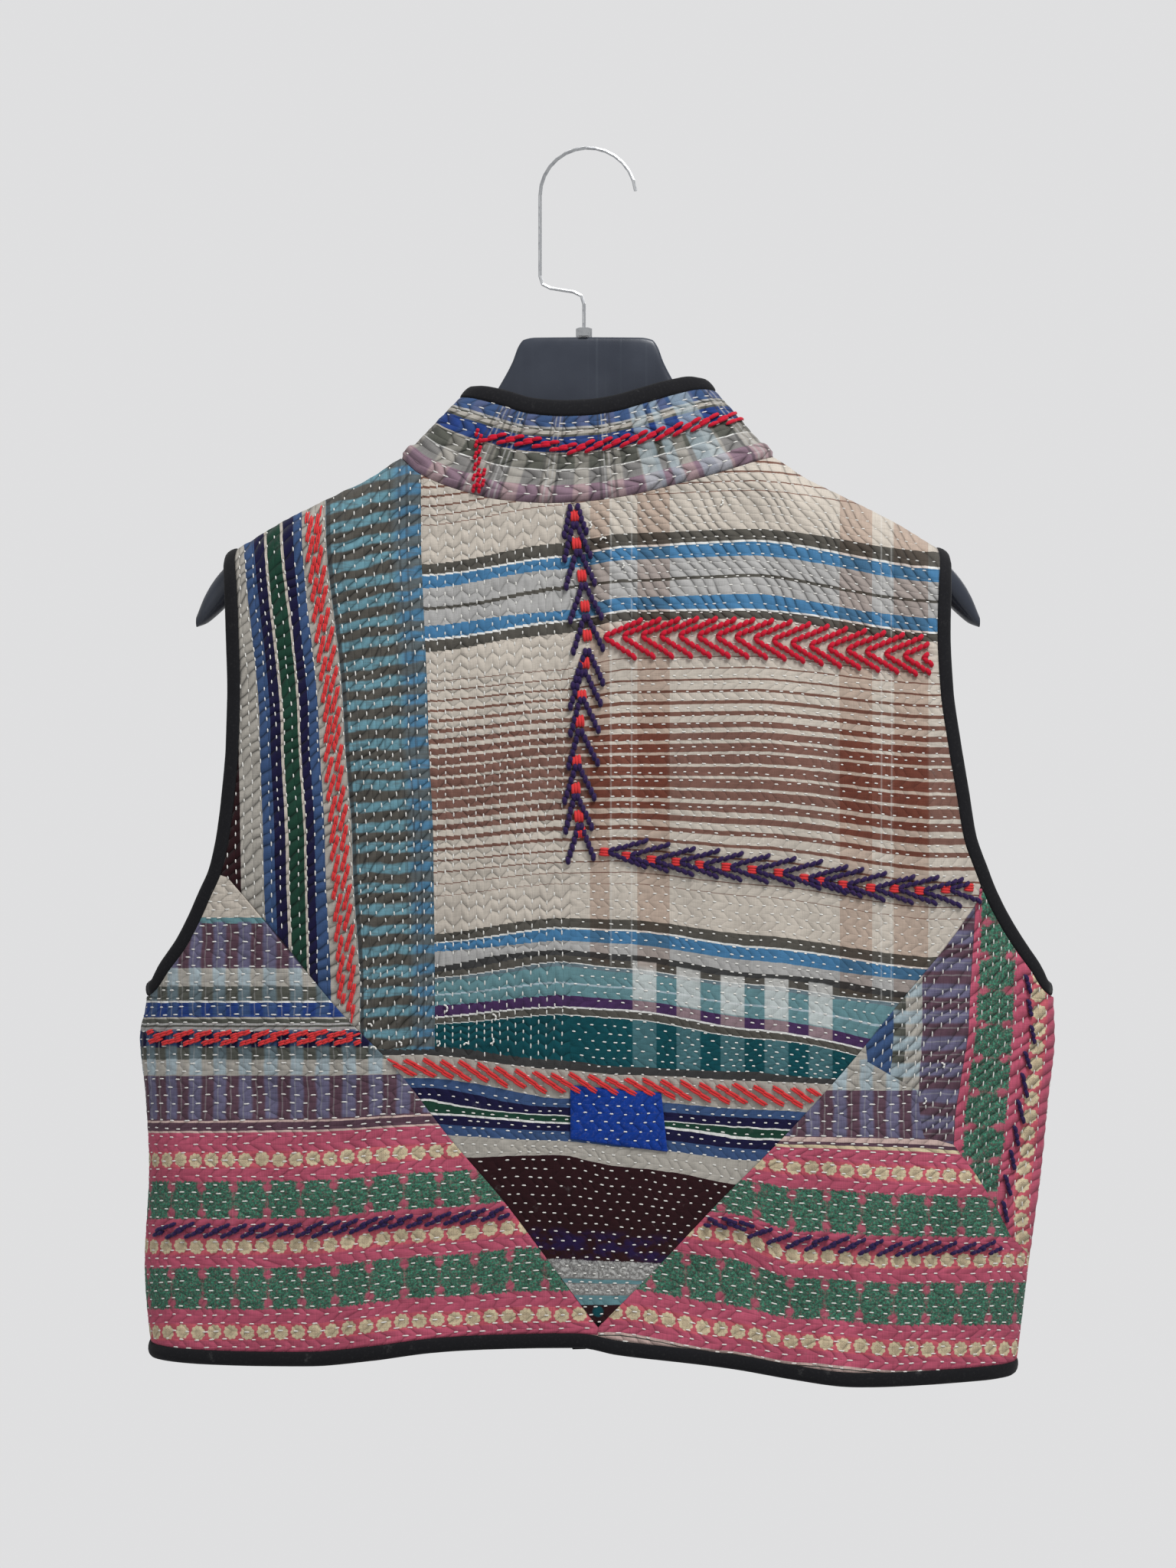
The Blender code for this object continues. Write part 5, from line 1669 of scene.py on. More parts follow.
BORDER_WARP = Warp(
    (250, 400, 571, 700),
    (
        (1146, 1146, 1146, 1146, 1146), (1400, 1400, 1400, 1398, 1396), (1462, 1462, 1461, 1453, 1450),
        (1515, 1515, 1514, 1504, 1494), (1628, 1628, 1627, 1612, 1600), (1740, 1740, 1740, 1724, 1718),
        (1770, 1770, 1768, 1752, 1744),
    ),
)
CORNER_WARP = Warp(
    (807, 950, 1040, 1168, 1310),
    (
        (1380, 1380, 1380, 1384, 1384, 1384), (1424, 1420, 1420, 1424, 1424, 1426),
        (1490, 1478, 1482, 1490, 1492, 1500), (1532, 1510, 1516, 1524, 1532, 1538),
        (1647, 1596, 1611, 1641, 1647, 1645), (1762, 1714, 1738, 1752, 1762, 1761),
        (1790, 1740, 1764, 1779, 1790, 1790),
    ),
)
STAND_WARP = Warp(
    (1180, 1343, 1465, 1560),
    (
        (1160, 1160, 1160, 1150, 1140), (1201, 1201, 1201, 1196, 1190), (1264.5, 1273, 1264.5, 1246, 1240),
        (1275, 1282, 1275, 1260, 1252), (1323.5, 1327, 1323.5, 1313.5, 1302),
        (1348, 1352, 1348, 1336, 1326), (1374, 1380, 1374, 1362, 1352),
    ),
)
MITRE = (
    (1130, 1385), (1199, 1425), (1206, 1484), (1245, 1495), (1275, 1535), (1300, 1575), (1320, 1615),
    (1345, 1640), (1500, 1640),
)


def sided(name: str, side: int) -> str:
    """The name of a piece at the left, where side is -1, or at the right."""
    return f"{name}_{'left' if side < 0 else 'right'}"


@dataclass
class ClothPanels:
    """The quilted panels of back and fronts, with their running stitches."""

    looks: Looks
    step: float = 1.55
    front_step: float = 2.4
    centre_columns: int = 252
    lower_columns: int = 156
    front_columns: int = 105
    front_seam: float = 1405.0
    front_start: float = 600.0
    front_sway: tuple[float, float] = (6.0, 400.0)
    edge_rows: float = 6.0
    run_off: float = 100.0
    strip_slope: tuple[float, float] = (0.05, 0.2)
    strip_top: tuple[float, float] = (1050.0, 380.0)
    strip_start: tuple[float, float] = (500.0, 520.0)
    strip_bend: float = 0.012
    beside_mitre: float = 40.0
    pieces: dict[str, bpy.types.Object] = field(default_factory=dict)
    sheets: list[Sheet] = field(default_factory=list)

    def sheet(self, name: str) -> Sheet:
        """The sheet of a panel."""
        return next(item for item in self.sheets if item.name == name)

    def _sheet(self, name: str, face: int, places: Array) -> Sheet:
        """A sheet of cloth at places on the body, with its creases."""
        x, z = places[..., 0], places[..., 1]
        out = BODY.outward(x, z, face)
        base = BODY.surface(x, z, face)
        fold = BODY.crease(x, z, face)
        row, column = from_edge(*x.shape)
        if name == "back_centre":
            column = column + self.run_off
        fold = fold * smooth(np.minimum(row, column) / self.edge_rows)
        sheet = Sheet(name, base - out * fold[..., None], out, CHART.of(base, face))
        self.sheets.append(sheet)
        return sheet

    def back_centre(self) -> None:
        """The striped centre panel with its upright strips."""
        level = BODY.levels(BODY.row_top, BODY.tip_row, self.step)
        start, end = (
            np.where(level > top, BODY.side_turn(side, BACK, level), BODY.seam_turn(side, level))
            for side, top in zip((-1, 1), BODY.seam_start)
        )
        tips = (BODY.tip(-1), BODY.tip(1))
        places = BODY.lay(BACK, level, start, end, self.centre_columns, tips)
        sheet = self._sheet("back_centre", BACK, places)
        x, y = sheet.seen[..., 0], sheet.seen[..., 1]
        v = FIELD_WARP.read(x, y)
        s = STRIP_WARP.read(y, x)
        (least, more), (top, drop), (start, bent) = self.strip_slope, self.strip_top, self.strip_start
        slope = least + more * smooth((top - y) / drop)
        w = y + slope * (x - start) - self.strip_bend * np.maximum(x - bent, 0) ** 2 * slope
        strips = in_strips(s, v)
        left = ~strips & beside_arrows(x, v)
        sway = sheet.wander(3)
        sheet.quilt([
            Stitching.on(STRIPS_LATTICE, s, w, strips, sway, upright=True),
            Stitching.on(FIELD_LEFT, x, v, left, sway, upright=True),
            Stitching.on(FIELD_RIGHT, v, x, ~strips & ~left, sway),
        ])
        layers = {"bands": np.stack((x, v), -1), "strips": np.stack((s, w), -1)}
        piece = sheet.build([self.looks.field, self.looks.lining], layers)
        self._done(piece, "back_centre")

    def back_lower_left(self) -> None:
        """The checked and flowered panel at the lower left."""
        level = BODY.levels(BODY.seam_start[0], BODY.row_hem, self.step)
        start, end = BODY.side_turn(-1, BACK, level), BODY.seam_turn(-1, level)
        places = BODY.lay(BACK, level, start, end, self.lower_columns, (0.0, 0.0))
        sheet = self._sheet("back_lower_left", BACK, places)
        x, y = sheet.seen[..., 0], sheet.seen[..., 1]
        v = BORDER_WARP.read(x, y)
        u = self._travel(sheet)
        sheet.quilt([Stitching.on(BORDER_LATTICE, v, u, np.ones(x.shape, bool), sheet.wander(11))])
        layers = {"bands": np.stack((u, v), -1)}
        piece = sheet.build([self.looks.border, self.looks.lining], layers)
        self._done(piece, "back_lower_left")

    def back_lower_right(self) -> None:
        """The panel at the lower right, whose border turns the corner."""
        level = BODY.levels(BODY.seam_start[1], BODY.row_hem, self.step)
        start, end = BODY.seam_turn(1, level), BODY.side_turn(1, BACK, level)
        places = BODY.lay(BACK, level, start, end, self.lower_columns, (0.0, 0.0))
        sheet = self._sheet("back_lower_right", BACK, places)
        x, y = sheet.seen[..., 0], sheet.seen[..., 1]
        v = CORNER_WARP.read(x, y)
        u = self._travel(sheet)
        s = STAND_WARP.read(y, x)
        mitre = np.where(x < MITRE[0][0], self.beside_mitre, y - np.interp(x, *zip(*MITRE)))
        lying = mitre > 0
        sway = sheet.wander(21)
        sheet.quilt([
            Stitching.on(BORDER_LATTICE, v, u, lying, sway),
            Stitching.on(STAND_LATTICE, s, y, ~lying, sway, upright=True),
        ])
        pairs = {"bands": (u, v), "strips": (s, y), "mitre": (mitre, y)}
        layers = {name: np.stack(pair, -1) for name, pair in pairs.items()}
        piece = sheet.build([self.looks.corner, self.looks.lining], layers)
        self._done(piece, "back_lower_right")

    def front(self, side: int) -> None:
        """One front: striped above, with the flowered border along the hem."""
        name = sided("front", side)
        level = BODY.levels(BODY.row_top, BODY.row_hem, self.front_step)
        tips = (BODY.tip(side), side * BODY.front_edge)
        start, end = BODY.side_turn(side, FRONT, level), BODY.front_turn(side, level)
        sheet = self._sheet(name, FRONT, BODY.lay(FRONT, level, start, end, self.front_columns, tips))
        x, y = sheet.seen[..., 0], sheet.seen[..., 1]
        u = self._travel(sheet) + self.front_start
        sway, length = self.front_sway
        v = y + sway * ripple(x, y, length, 31 + side)
        sheet.quilt([Stitching.on(FRONT_LATTICE, v, u, np.ones(x.shape, bool), sheet.wander(41 + side))])
        layers = {"bands": np.stack((u, v), -1), "strips": np.stack((u, v), -1)}
        piece = sheet.build([self.looks.front, self.looks.front_border, self.looks.lining], layers)
        flags = np.zeros(len(piece.data.polygons), np.int32)
        piece.data.polygons.foreach_get("material_index", flags)
        rows, columns = sheet.shape
        seam = int(np.argmin(np.abs(v[:, columns // 2] - self.front_seam)))
        flags[seam * (columns - 1):(rows - 1) * (columns - 1)] = 1
        piece.data.polygons.foreach_set("material_index", flags)
        self._done(piece, name)

    @staticmethod
    def _travel(sheet: Sheet) -> Array:
        """Distance along the rows in chart steps, from the middle of the body."""
        steps = np.linalg.norm(np.diff(sheet.base, axis=1), axis=-1) / CHART.step
        travel = np.concatenate((np.zeros((sheet.shape[0], 1)), np.cumsum(steps, axis=1)), axis=1)
        x = sheet.base[..., 0]
        side = np.abs(x[:, 0]) > np.abs(x[:, -1])
        offset = np.where(side, travel[:, -1], travel[:, 0])[:, None]
        middle = np.where(side, x[:, -1], x[:, 0])[:, None] / CHART.step
        direction = np.where(x[:, -1:] > x[:, :1], 1.0, -1.0)
        return middle + direction * (travel - offset) + CHART.middle[0]

    def _done(self, piece: bpy.types.Object, node: str) -> None:
        """Attaches a finished panel, hides the solid that it replaces and keeps it by name."""
        self.pieces[node] = declare(piece, node)

    def build(self) -> None:
        """Builds all panels and their stitches."""
        self.back_centre()
        self.back_lower_left()
        self.back_lower_right()
        self.front(-1)
        self.front(1)
        rng = np.random.default_rng(17)
        for label, names in (("back", "back_"), ("fronts", "front_")):
            thread = Thread(f"running_stitches_{label}")
            for sheet in self.sheets:
                if sheet.name.startswith(names):
                    thread.add_dashes(sheet.dashes(rng))
            piece = thread.build(self.looks.thread)
            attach(piece, "root")
            self.pieces[thread.name] = piece
            LOG.info("%s: %d faces", thread.name, len(piece.data.polygons))


@dataclass
class Collar:
    """The quilted stand collar, from the left front round the back to the right front."""

    looks: Looks
    columns: tuple[int, int] = (86, 169)
    rows: int = 39
    top_half: float = 66.0
    top_deep: tuple[float, float] = (20.0, 18.0)
    front_top: float = -186.0
    binding: float = 10.0
    seam_gap: float = 0.3
    chart_height: float = 140.0
    front_dip: float = 1.6
    roundness: float = 2.2
    roll: float = 1.8
    roll_start: float = 113.0
    roll_soft: float = 8.0
    blend: float = 9.0

    def ribs(self) -> tuple[Array, Array, Array]:
        """Lower and upper ends of the collar's upright lines, and the direction out."""
        neck = BODY.neck_half
        turn = np.linspace(math.asin(BODY.front_edge / neck), math.pi / 2, self.columns[0])
        front = np.sin(turn)
        back = -np.cos(np.linspace(0, math.pi, self.columns[1] + 1))[1:-1]
        across = np.concatenate((-front, back, front[::-1]))
        face = np.concatenate((0 * front + FRONT, 0 * back + BACK, 0 * front + FRONT))
        x = across * neck
        behind = BODY.surface(x, BODY.top_line(x, BACK), BACK)
        before = BODY.surface(x, BODY.top_line(x, FRONT), FRONT)
        base = np.where((face == BACK)[:, None], behind, before)
        edge = np.abs(across) > 0.999
        base[edge, 1] = BODY.lean(base[edge, 0], base[edge, 2])
        share = (np.abs(x) - BODY.front_edge) / (neck - BODY.front_edge)
        forward = np.copysign(BODY.front_edge + (self.top_half - BODY.front_edge) * share, x)
        top_x = np.where(face == BACK, across * self.top_half, forward)
        side = BODY.neck_edge(np.copysign(1.0, x))
        low = side + (self.front_top - side) * (1 - np.abs(across) ** self.front_dip)
        z = np.where(face == BACK, BODY.neck_edge(across), low)
        deep = np.where(face == BACK, *self.top_deep)
        rest = np.maximum(1 - (np.abs(top_x) / self.top_half) ** self.roundness, 0.0)
        rounding = rest ** (1 / self.roundness)
        top = np.stack((top_x, face * deep * rounding, z), -1)
        middle = (base + top) / 2
        out = soften(unit(np.cross(np.gradient(middle, axis=0), top - base)), 6)
        return base, top, out

    def build(self) -> bpy.types.Object:
        """The quilted band of the collar."""
        base, top, out = self.ribs()
        tall = np.linalg.norm(top - base, axis=1)
        share = np.linspace(self.seam_gap / tall, 1 - self.binding / tall, self.rows + 1)
        points = base + (top - base) * share[..., None]
        outward = np.broadcast_to(out, points.shape).copy()
        sheet = Sheet("collar", points, outward, CHART.of(points), BODY.wall)
        middle = CHART.of((base + top) / 2)
        travel = travelled((base + top) / 2) / CHART.step
        first, last = self.columns[0], len(base) - self.columns[0] - 1
        u = middle[:, 0].copy()
        u[:first] = u[first] - (travel[first] - travel[:first])
        u[last + 1:] = u[last] + (travel[last + 1:] - travel[last])
        drop = (1 - share) * self.chart_height
        along = np.broadcast_to(u, drop.shape)
        roll = self.roll * smooth((drop - self.roll_start) / self.roll_soft)
        roll = roll * smooth((self.chart_height - drop) / self.roll_soft)
        rows = Stitching.on(COLLAR_LATTICE, drop, along, np.ones(drop.shape, bool), sheet.wander(61))
        sheet.quilt([rows], lift=roll)
        piece = sheet.build([self.looks.collar, self.looks.lining], {"bands": np.stack((along, drop), -1)})
        self.sheet = sheet
        return declare(piece, "collar")

    def place(self, places: Array) -> tuple[Array, Array]:
        """Points on the back of the collar at chart places, and the direction out."""
        sheet = self.sheet
        behind = sheet.base[..., 1] < BODY.lean(sheet.base[..., 0], sheet.base[..., 2])
        seen, points, out = (values[behind] for values in (sheet.seen, sheet.points, sheet.out))
        far = np.sum((np.atleast_2d(places)[:, None] - seen) ** 2, axis=-1)
        share = np.exp(-(far - far.min(axis=1, keepdims=True)) / self.blend)
        share /= share.sum(axis=1, keepdims=True)
        return share @ points, unit(share @ out)


@dataclass
class Bindings:
    """Black folded bindings round the armholes, hem, front edges and collar."""

    looks: Looks
    panels: ClothPanels
    width: float = 8.5
    front_width: float = 8.7
    step: float = 2.6
    # share of the width, and height above the cloth
    section: Sequence[tuple[float, float]] = (
        (0.0, -2.8), (0.0, -0.2), (0.05, 0.55), (0.17, 0.95), (0.4, 1.2), (0.64, 1.05), (0.84, 0.45),
        (0.97, -0.7), (0.97, -1.8), (0.84, -2.7),
    )
    # depth and length of the tape's small puckers and of its slow ones
    puckers: tuple[tuple[float, float], ...] = ((0.22, 7.5), (0.25, 32.0))
    section_step: float = 4.0
    pieces: dict[str, bpy.types.Object] = field(default_factory=dict)

    def tape(
        self, name: str, line: Array, wide: Array, out: Array, width: float, closed: bool = False
    ) -> None:
        """A folded tape along a line of points.

        Args:
            wide: direction across the tape, away from the cloth that it binds.
            out: direction out of the cloth.
        """
        line, wide, out = evenly(line, self.step, wide, out)
        if closed:
            line, wide, out = line[:-1], wide[:-1], out[:-1]
        out = unit(out)
        wide = unit(wide - out * np.sum(wide * out, axis=1, keepdims=True))
        travel = np.arange(len(line)) * self.step
        (small, short), (large, long) = self.puckers
        pucker = small * ripple(travel, travel * 0.3, short, 71) + large * ripple(travel, travel, long, 72)
        rings = []
        for share, high in self.section:
            soft = pucker * (0.35 + share) if high > -1 else 0 * pucker
            rise = high + soft * min(1.0, 1.2 - share)
            rings.append(line + wide * (width * share) + out * rise[:, None])
        block = np.stack(rings, 1)
        count, size = block.shape[:2]
        faces = tube_faces(count, size, closed)
        made = add_mesh(f"{name}_tape", block.reshape(-1, 3), faces, [self.looks.ink])
        around = np.tile(np.arange(size) * self.section_step, count)
        places = np.stack((np.repeat(travel, size) / CHART.step, around), -1)
        put_uv(made, "bands", places)
        face_outward(made)
        self.pieces[name] = declare(made, name)

    def armhole(self, side: int) -> None:
        """A ring of tape: down the back edge, round the underarm and up the front edge."""
        level = BODY.levels(BODY.row_top, BODY.underarm, self.step)
        tip = BODY.tip(side)
        halves = []
        for face in (BACK, FRONT):
            turn = BODY.crossing(BODY.armhole_edge(side, face), level, face, tip)
            z = level.copy()
            for _ in range(BODY.edge_rounds):
                x = BODY.reach(turn, z)
                z = BODY.height(level, x, face, np.full_like(x, tip))
            halves.append((BODY.surface(x, z, face), BODY.outward(x, z, face)))
        line, out = (np.concatenate((back[:-1], front[:0:-1])) for back, front in zip(*halves))
        out = soften(out, 3, ring=True)
        ahead = np.roll(line, -1, 0) - np.roll(line, 1, 0)
        wide = unit(np.cross(ahead, out)) * side
        toward = np.sum(wide * np.array([side, 0, 0.6]), axis=1, keepdims=True)
        wide = soften(np.where(toward < 0, -wide, wide), 3, ring=True)
        close = [np.concatenate((values, values[:1])) for values in (line, wide, out)]
        self.tape(sided("armhole_binding", side), *close, self.width, closed=True)

    def hem(self) -> None:
        """One tape along the lower edges of all panels."""
        lines, downs, outs = [], [], []
        for name in ("front_left", "back_lower_left", "back_lower_right", "front_right"):
            sheet = self.panels.sheet(name)
            line, before, out = sheet.base[-1], sheet.base[-3], sheet.out[-1]
            if name == "front_left":
                line, before, out = line[::-1], before[::-1], out[::-1]
            lines.append(line)
            downs.append(unit(line - before))
            outs.append(out)
        down = soften(np.concatenate(downs), 8)
        self.tape("hem_binding", np.concatenate(lines), down, np.concatenate(outs), self.width)

    def front_edge(self, side: int, ribs: tuple[Array, Array, Array]) -> None:
        """Tape down a front edge, from the collar's top to the hem."""
        sheet = self.panels.sheet(sided("front", side))
        base, top, normal = (values[0 if side < 0 else -1] for values in ribs)
        edge, out = sheet.base[:, -1], sheet.out[:, -1]
        low = edge[-1] - np.array([0, 0, self.width + BODY.seam_gap])
        line = np.concatenate((np.stack((top, (base * 2 + top) / 3)), edge, low[None]))
        out = soften(np.concatenate((np.stack((normal, normal)), out, out[-1:])), 4)
        wide = np.broadcast_to(np.array([-side, 0.0, 0.0]), line.shape)
        self.tape(sided("front_binding", side), line, wide, out, self.front_width)

    def build(self, collar: Collar) -> None:
        """Builds every binding."""
        ribs = collar.ribs()
        base, top, out = ribs
        up = unit(top - base)
        self.tape("collar_binding", top - up * collar.binding, up, out, collar.binding)
        for side in (-1, 1):
            self.armhole(side)
        self.hem()
        for side in (-1, 1):
            self.front_edge(side, ribs)


@dataclass
class BluePatch:
    """The small bright patch on the centre panel, quilted and edged with pale stitches."""

    looks: Looks
    corners: tuple[tuple[float, float], ...] = ((745, 1417), (863.5, 1427), (871.5, 1504), (745, 1487))
    lift: float = 1.25
    wall: float = 0.9
    first_row: float = 1408.0
    size: tuple[int, int] = (43, 67)
    quilted_down: tuple[float, float] = (0.09, 0.93)
    quilted_across: tuple[float, float] = (0.05, 0.96)
    plain: float = 0.3

    def build(self) -> tuple[bpy.types.Object, Sheet]:
        """The patch."""
        down, across = np.meshgrid(*(np.linspace(0, 1, count) for count in self.size), indexing="ij")
        corner = np.array(self.corners)[:, None, None, :]
        high = corner[0] + (corner[1] - corner[0]) * across[..., None]
        low = corner[3] + (corner[2] - corner[3]) * across[..., None]
        seen = high + (low - high) * down[..., None]
        base, out = CHART.place(seen)
        sheet = Sheet("blue_patch", base + out * self.lift, out, seen, self.wall)
        (top, bottom), (left, right) = self.quilted_down, self.quilted_across
        edge = (down > top) & (down < bottom) & (across > left) & (across < right)
        places = seen - np.array([0.0, self.first_row])
        rows = Stitching.on(PATCH_LATTICE, places[..., 1], seen[..., 0], edge, sheet.wander(5))
        sheet.quilt([rows], plain=self.plain)
        piece = sheet.build([self.looks.blue, self.looks.blue], {"bands": places})
        return declare(piece, "blue_patch"), sheet


# out from the middle, top, bottom, half depth, squareness
HANGER = (
    (0, -107.0, -152.0, 3.5, 5.0), (30, -107.2, -160.0, 3.5, 5.0), (36.5, -108.4, -164.0, 3.5, 5.0),
    (39.5, -112.0, -166.0, 3.6, 4.5), (43, -121.0, -169.0, 3.8, 4.0), (48, -130.5, -172.0, 4.0, 3.5),
    (56, -143.0, -177.0, 4.0, 3.0), (68, -155.0, -183.0, 4.2, 2.6), (84, -168.0, -190.0, 5.0, 2.4),
    (104, -180.5, -200.0, 6.2, 2.2), (130, -193.1, -210.0, 9.0, 2.2), (155, -204.9, -222.0, 10.5, 2.2),
    (178, -216.2, -235.0, 12.0, 2.2), (197, -227.9, -249.0, 12.5, 2.2), (206, -234.5, -257.0, 12.0, 2.2),
    (214, -243.0, -264.5, 10.5, 2.2), (220, -252.5, -269.0, 8.0, 2.2), (225.5, -265.0, -271.0, 3.0, 2.2),
)


@dataclass
class Hanger:
    """The moulded hanger with its neck plate, and the wire hook with its nut.

    Sections stand closest where the neck plate turns into the arms, and close up again at the tips.
    """

    looks: Looks
    around: int = 28
    plate: float = 36.0
    arm: float = 60.0
    last: float = 216.5
    rounded: float = 9.0

    def build(self) -> bpy.types.Object:
        """The moulded body, and the bright finish of hook and nut."""
        top, bottom, deep, square = (Curve(HANGER, k) for k in (1, 2, 3, 4))
        ends = np.sin(np.linspace(0, math.pi / 2, 22)) * self.rounded
        stretches = ((0, self.plate, 24), (self.plate, self.arm, 30), (self.arm, self.last, 60))
        out = np.concatenate((*(np.linspace(*stretch)[:-1] for stretch in stretches), self.last + ends))
        x = np.concatenate((-out[:0:-1], out))
        reach = np.abs(x)
        middle, half = (top(reach) + bottom(reach)) / 2, (top(reach) - bottom(reach)) / 2
        turn = 2 * math.pi * (np.arange(self.around) + 0.5) / self.around
        power = 2 / square(reach)[:, None]
        side, up = (np.sign(part) * np.abs(part) ** power for part in (np.sin(turn), np.cos(turn)))
        y = BODY.lean(x, middle)[:, None] + deep(reach)[:, None] * side
        z = middle[:, None] + half[:, None] * up
        points = np.stack((np.broadcast_to(x[:, None], y.shape), y, z), -1)
        faces = tube_faces(len(x), self.around)
        piece = add_mesh("hanger_body_moulded", points.reshape(-1, 3), faces, [self.looks.moulding])
        face_outward(piece)
        for node in ("hanger_hook", "hanger_nut"):
            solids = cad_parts[node]
            for item in solids if isinstance(solids, (list, tuple)) else [solids]:
                for slot in item.material_slots:
                    slot.material = self.looks.wire
        return declare(piece, "hanger_body")


def inside(outline: Array, places: Array) -> Array:
    """Which chart places lie within a closed outline."""
    x, y = places[:, 0], places[:, 1]
    x0, y0 = outline[:, 0][:, None], outline[:, 1][:, None]
    x1, y1 = np.roll(outline[:, 0], -1)[:, None], np.roll(outline[:, 1], -1)[:, None]
    spans = (y0 > y) != (y1 > y)
    cut = x0 + (y - y0) * (x1 - x0) / np.where(spans, y1 - y0, 1.0)
    return (np.sum(spans & (x < cut), axis=0) % 2) == 1


# apex; then how far the left and the right leg reach
ARROWS = (
    (749, 651, -13, 18), (750.5, 682, -14, 22), (755, 718, -17, 23), (762, 762, -18, 25),
    (765, 803, -17, 24), (767, 848, -20, 22), (762, 875, -18, 24), (760, 910, -16, 23), (757, 953, -15, 25),
    (754, 998, -18, 24), (752, 1037, -14, 22), (757, 1076, -16, 20),
)
ARROW_MARKS = (
    (750.5, 674), (753, 710), (760, 752), (764, 792), (767, 830), (764, 866), (760, 909), (757, 942),
    (753, 994), (752, 1030), (756, 1066), (759, 1087),
)
LYING_MARKS = (
    (789.5, 1112.7), (818, 1118), (851, 1123), (883, 1125.7), (913.6, 1129.6), (948.4, 1132.3),
    (982.3, 1136), (1017, 1140), (1050, 1147), (1070.7, 1150.6), (1100.5, 1155.6), (1137, 1159.7),
    (1167.7, 1160.6), (1200, 1163.4), (1234, 1161.4), (1264.7, 1159),
)
# start and end, width, number of strokes and slant of the loose navy rope and its two dots
LAST_ROPE = (
    ((1000, 592), (1043, 614), 5.4, 6, 0.8), ((1050, 616), (1054, 617), 4.6, 1, 0),
    ((1064, 620), (1068, 621), 4.6, 1, 0),
)
# place, length and lean of loose ends of mending thread
LOOSE_ENDS = (
    (582, 1322, 11, 0.9), (646, 1333, 10, 1.0), (613, 1364, 8, 2.4), (640, 1363, 9, 0.2),
    (486, 1341, 7, 1.7), (571, 1366, 8, 0.4), (492, 1371, 9, 2.0), (524, 1366, 7, 1.2), (770, 690, 8, 0.7),
    (792, 704, 9, 2.5), (812, 742, 7, 0.5), (826, 818, 9, 1.5), (748, 1110, 8, 0.6), (741, 1124, 7, 2.2),
    (1232, 1395, 8, 1.0), (1206, 1442, 9, 0.4), (940, 660, 8, 0.3), (903, 812, 7, 1.8),
)
RIDGE = ((780, 832), (860, 830), (960, 832), (1050, 842), (1150, 853), (1240, 863))
CLIMB = ((1279, 1341), (1353, 1347), (1416, 1336), (1490, 1325), (1570, 1312), (1600, 1309))
COLLAR_ROPE = ((638, 572), (696, 578), (745, 587), (806, 578), (867, 566), (929, 550), (965, 547))


@dataclass(frozen=True)
class StrokeRow:
    """Slanted strokes at even steps along a band, in one line or in two staggered ones, in chart steps."""

    count: int
    start: float
    step: float
    line: float
    reach: tuple[float, float]
    width: float
    lines: int = 1
    shift: float = 0.0
    gap: float = 0.0

    def places(self) -> list[tuple[float, float]]:
        """Place of each stroke's middle along the band, and its line across it."""
        return [
            (self.start + self.step * k + self.shift * row, self.line + self.gap * row)
            for k in range(self.count) for row in range(self.lines)
        ]


CORAL_STRIP = StrokeRow(30, 666, 26.0, 427.5, (9, -35), 4.8, lines=2, shift=13, gap=11.5)
NAVY_CLIMB = StrokeRow(10, 1285, 33, 0, (7, 33), 6.2)
CORAL_BAND = StrokeRow(30, 480, 24, 1408.0, (40, 22), 5.8)
CORAL_LEFT = StrokeRow(13, 190, 25, 1350.5, (25, -7), 5.4, lines=2, shift=10, gap=9.5)
NAVY_LEFT = StrokeRow(20, 194, 24, 1603, (25, -10), 5.6, lines=2, shift=11, gap=8.5)
NAVY_RIGHT = StrokeRow(20, 880, 24, 1625.5, (25, -10), 5.6, lines=2, shift=11, gap=8.5)


def normal(along: Array) -> Array:
    """Direction on the chart square to another."""
    return np.array([-along[1], along[0]]) / np.hypot(*along)


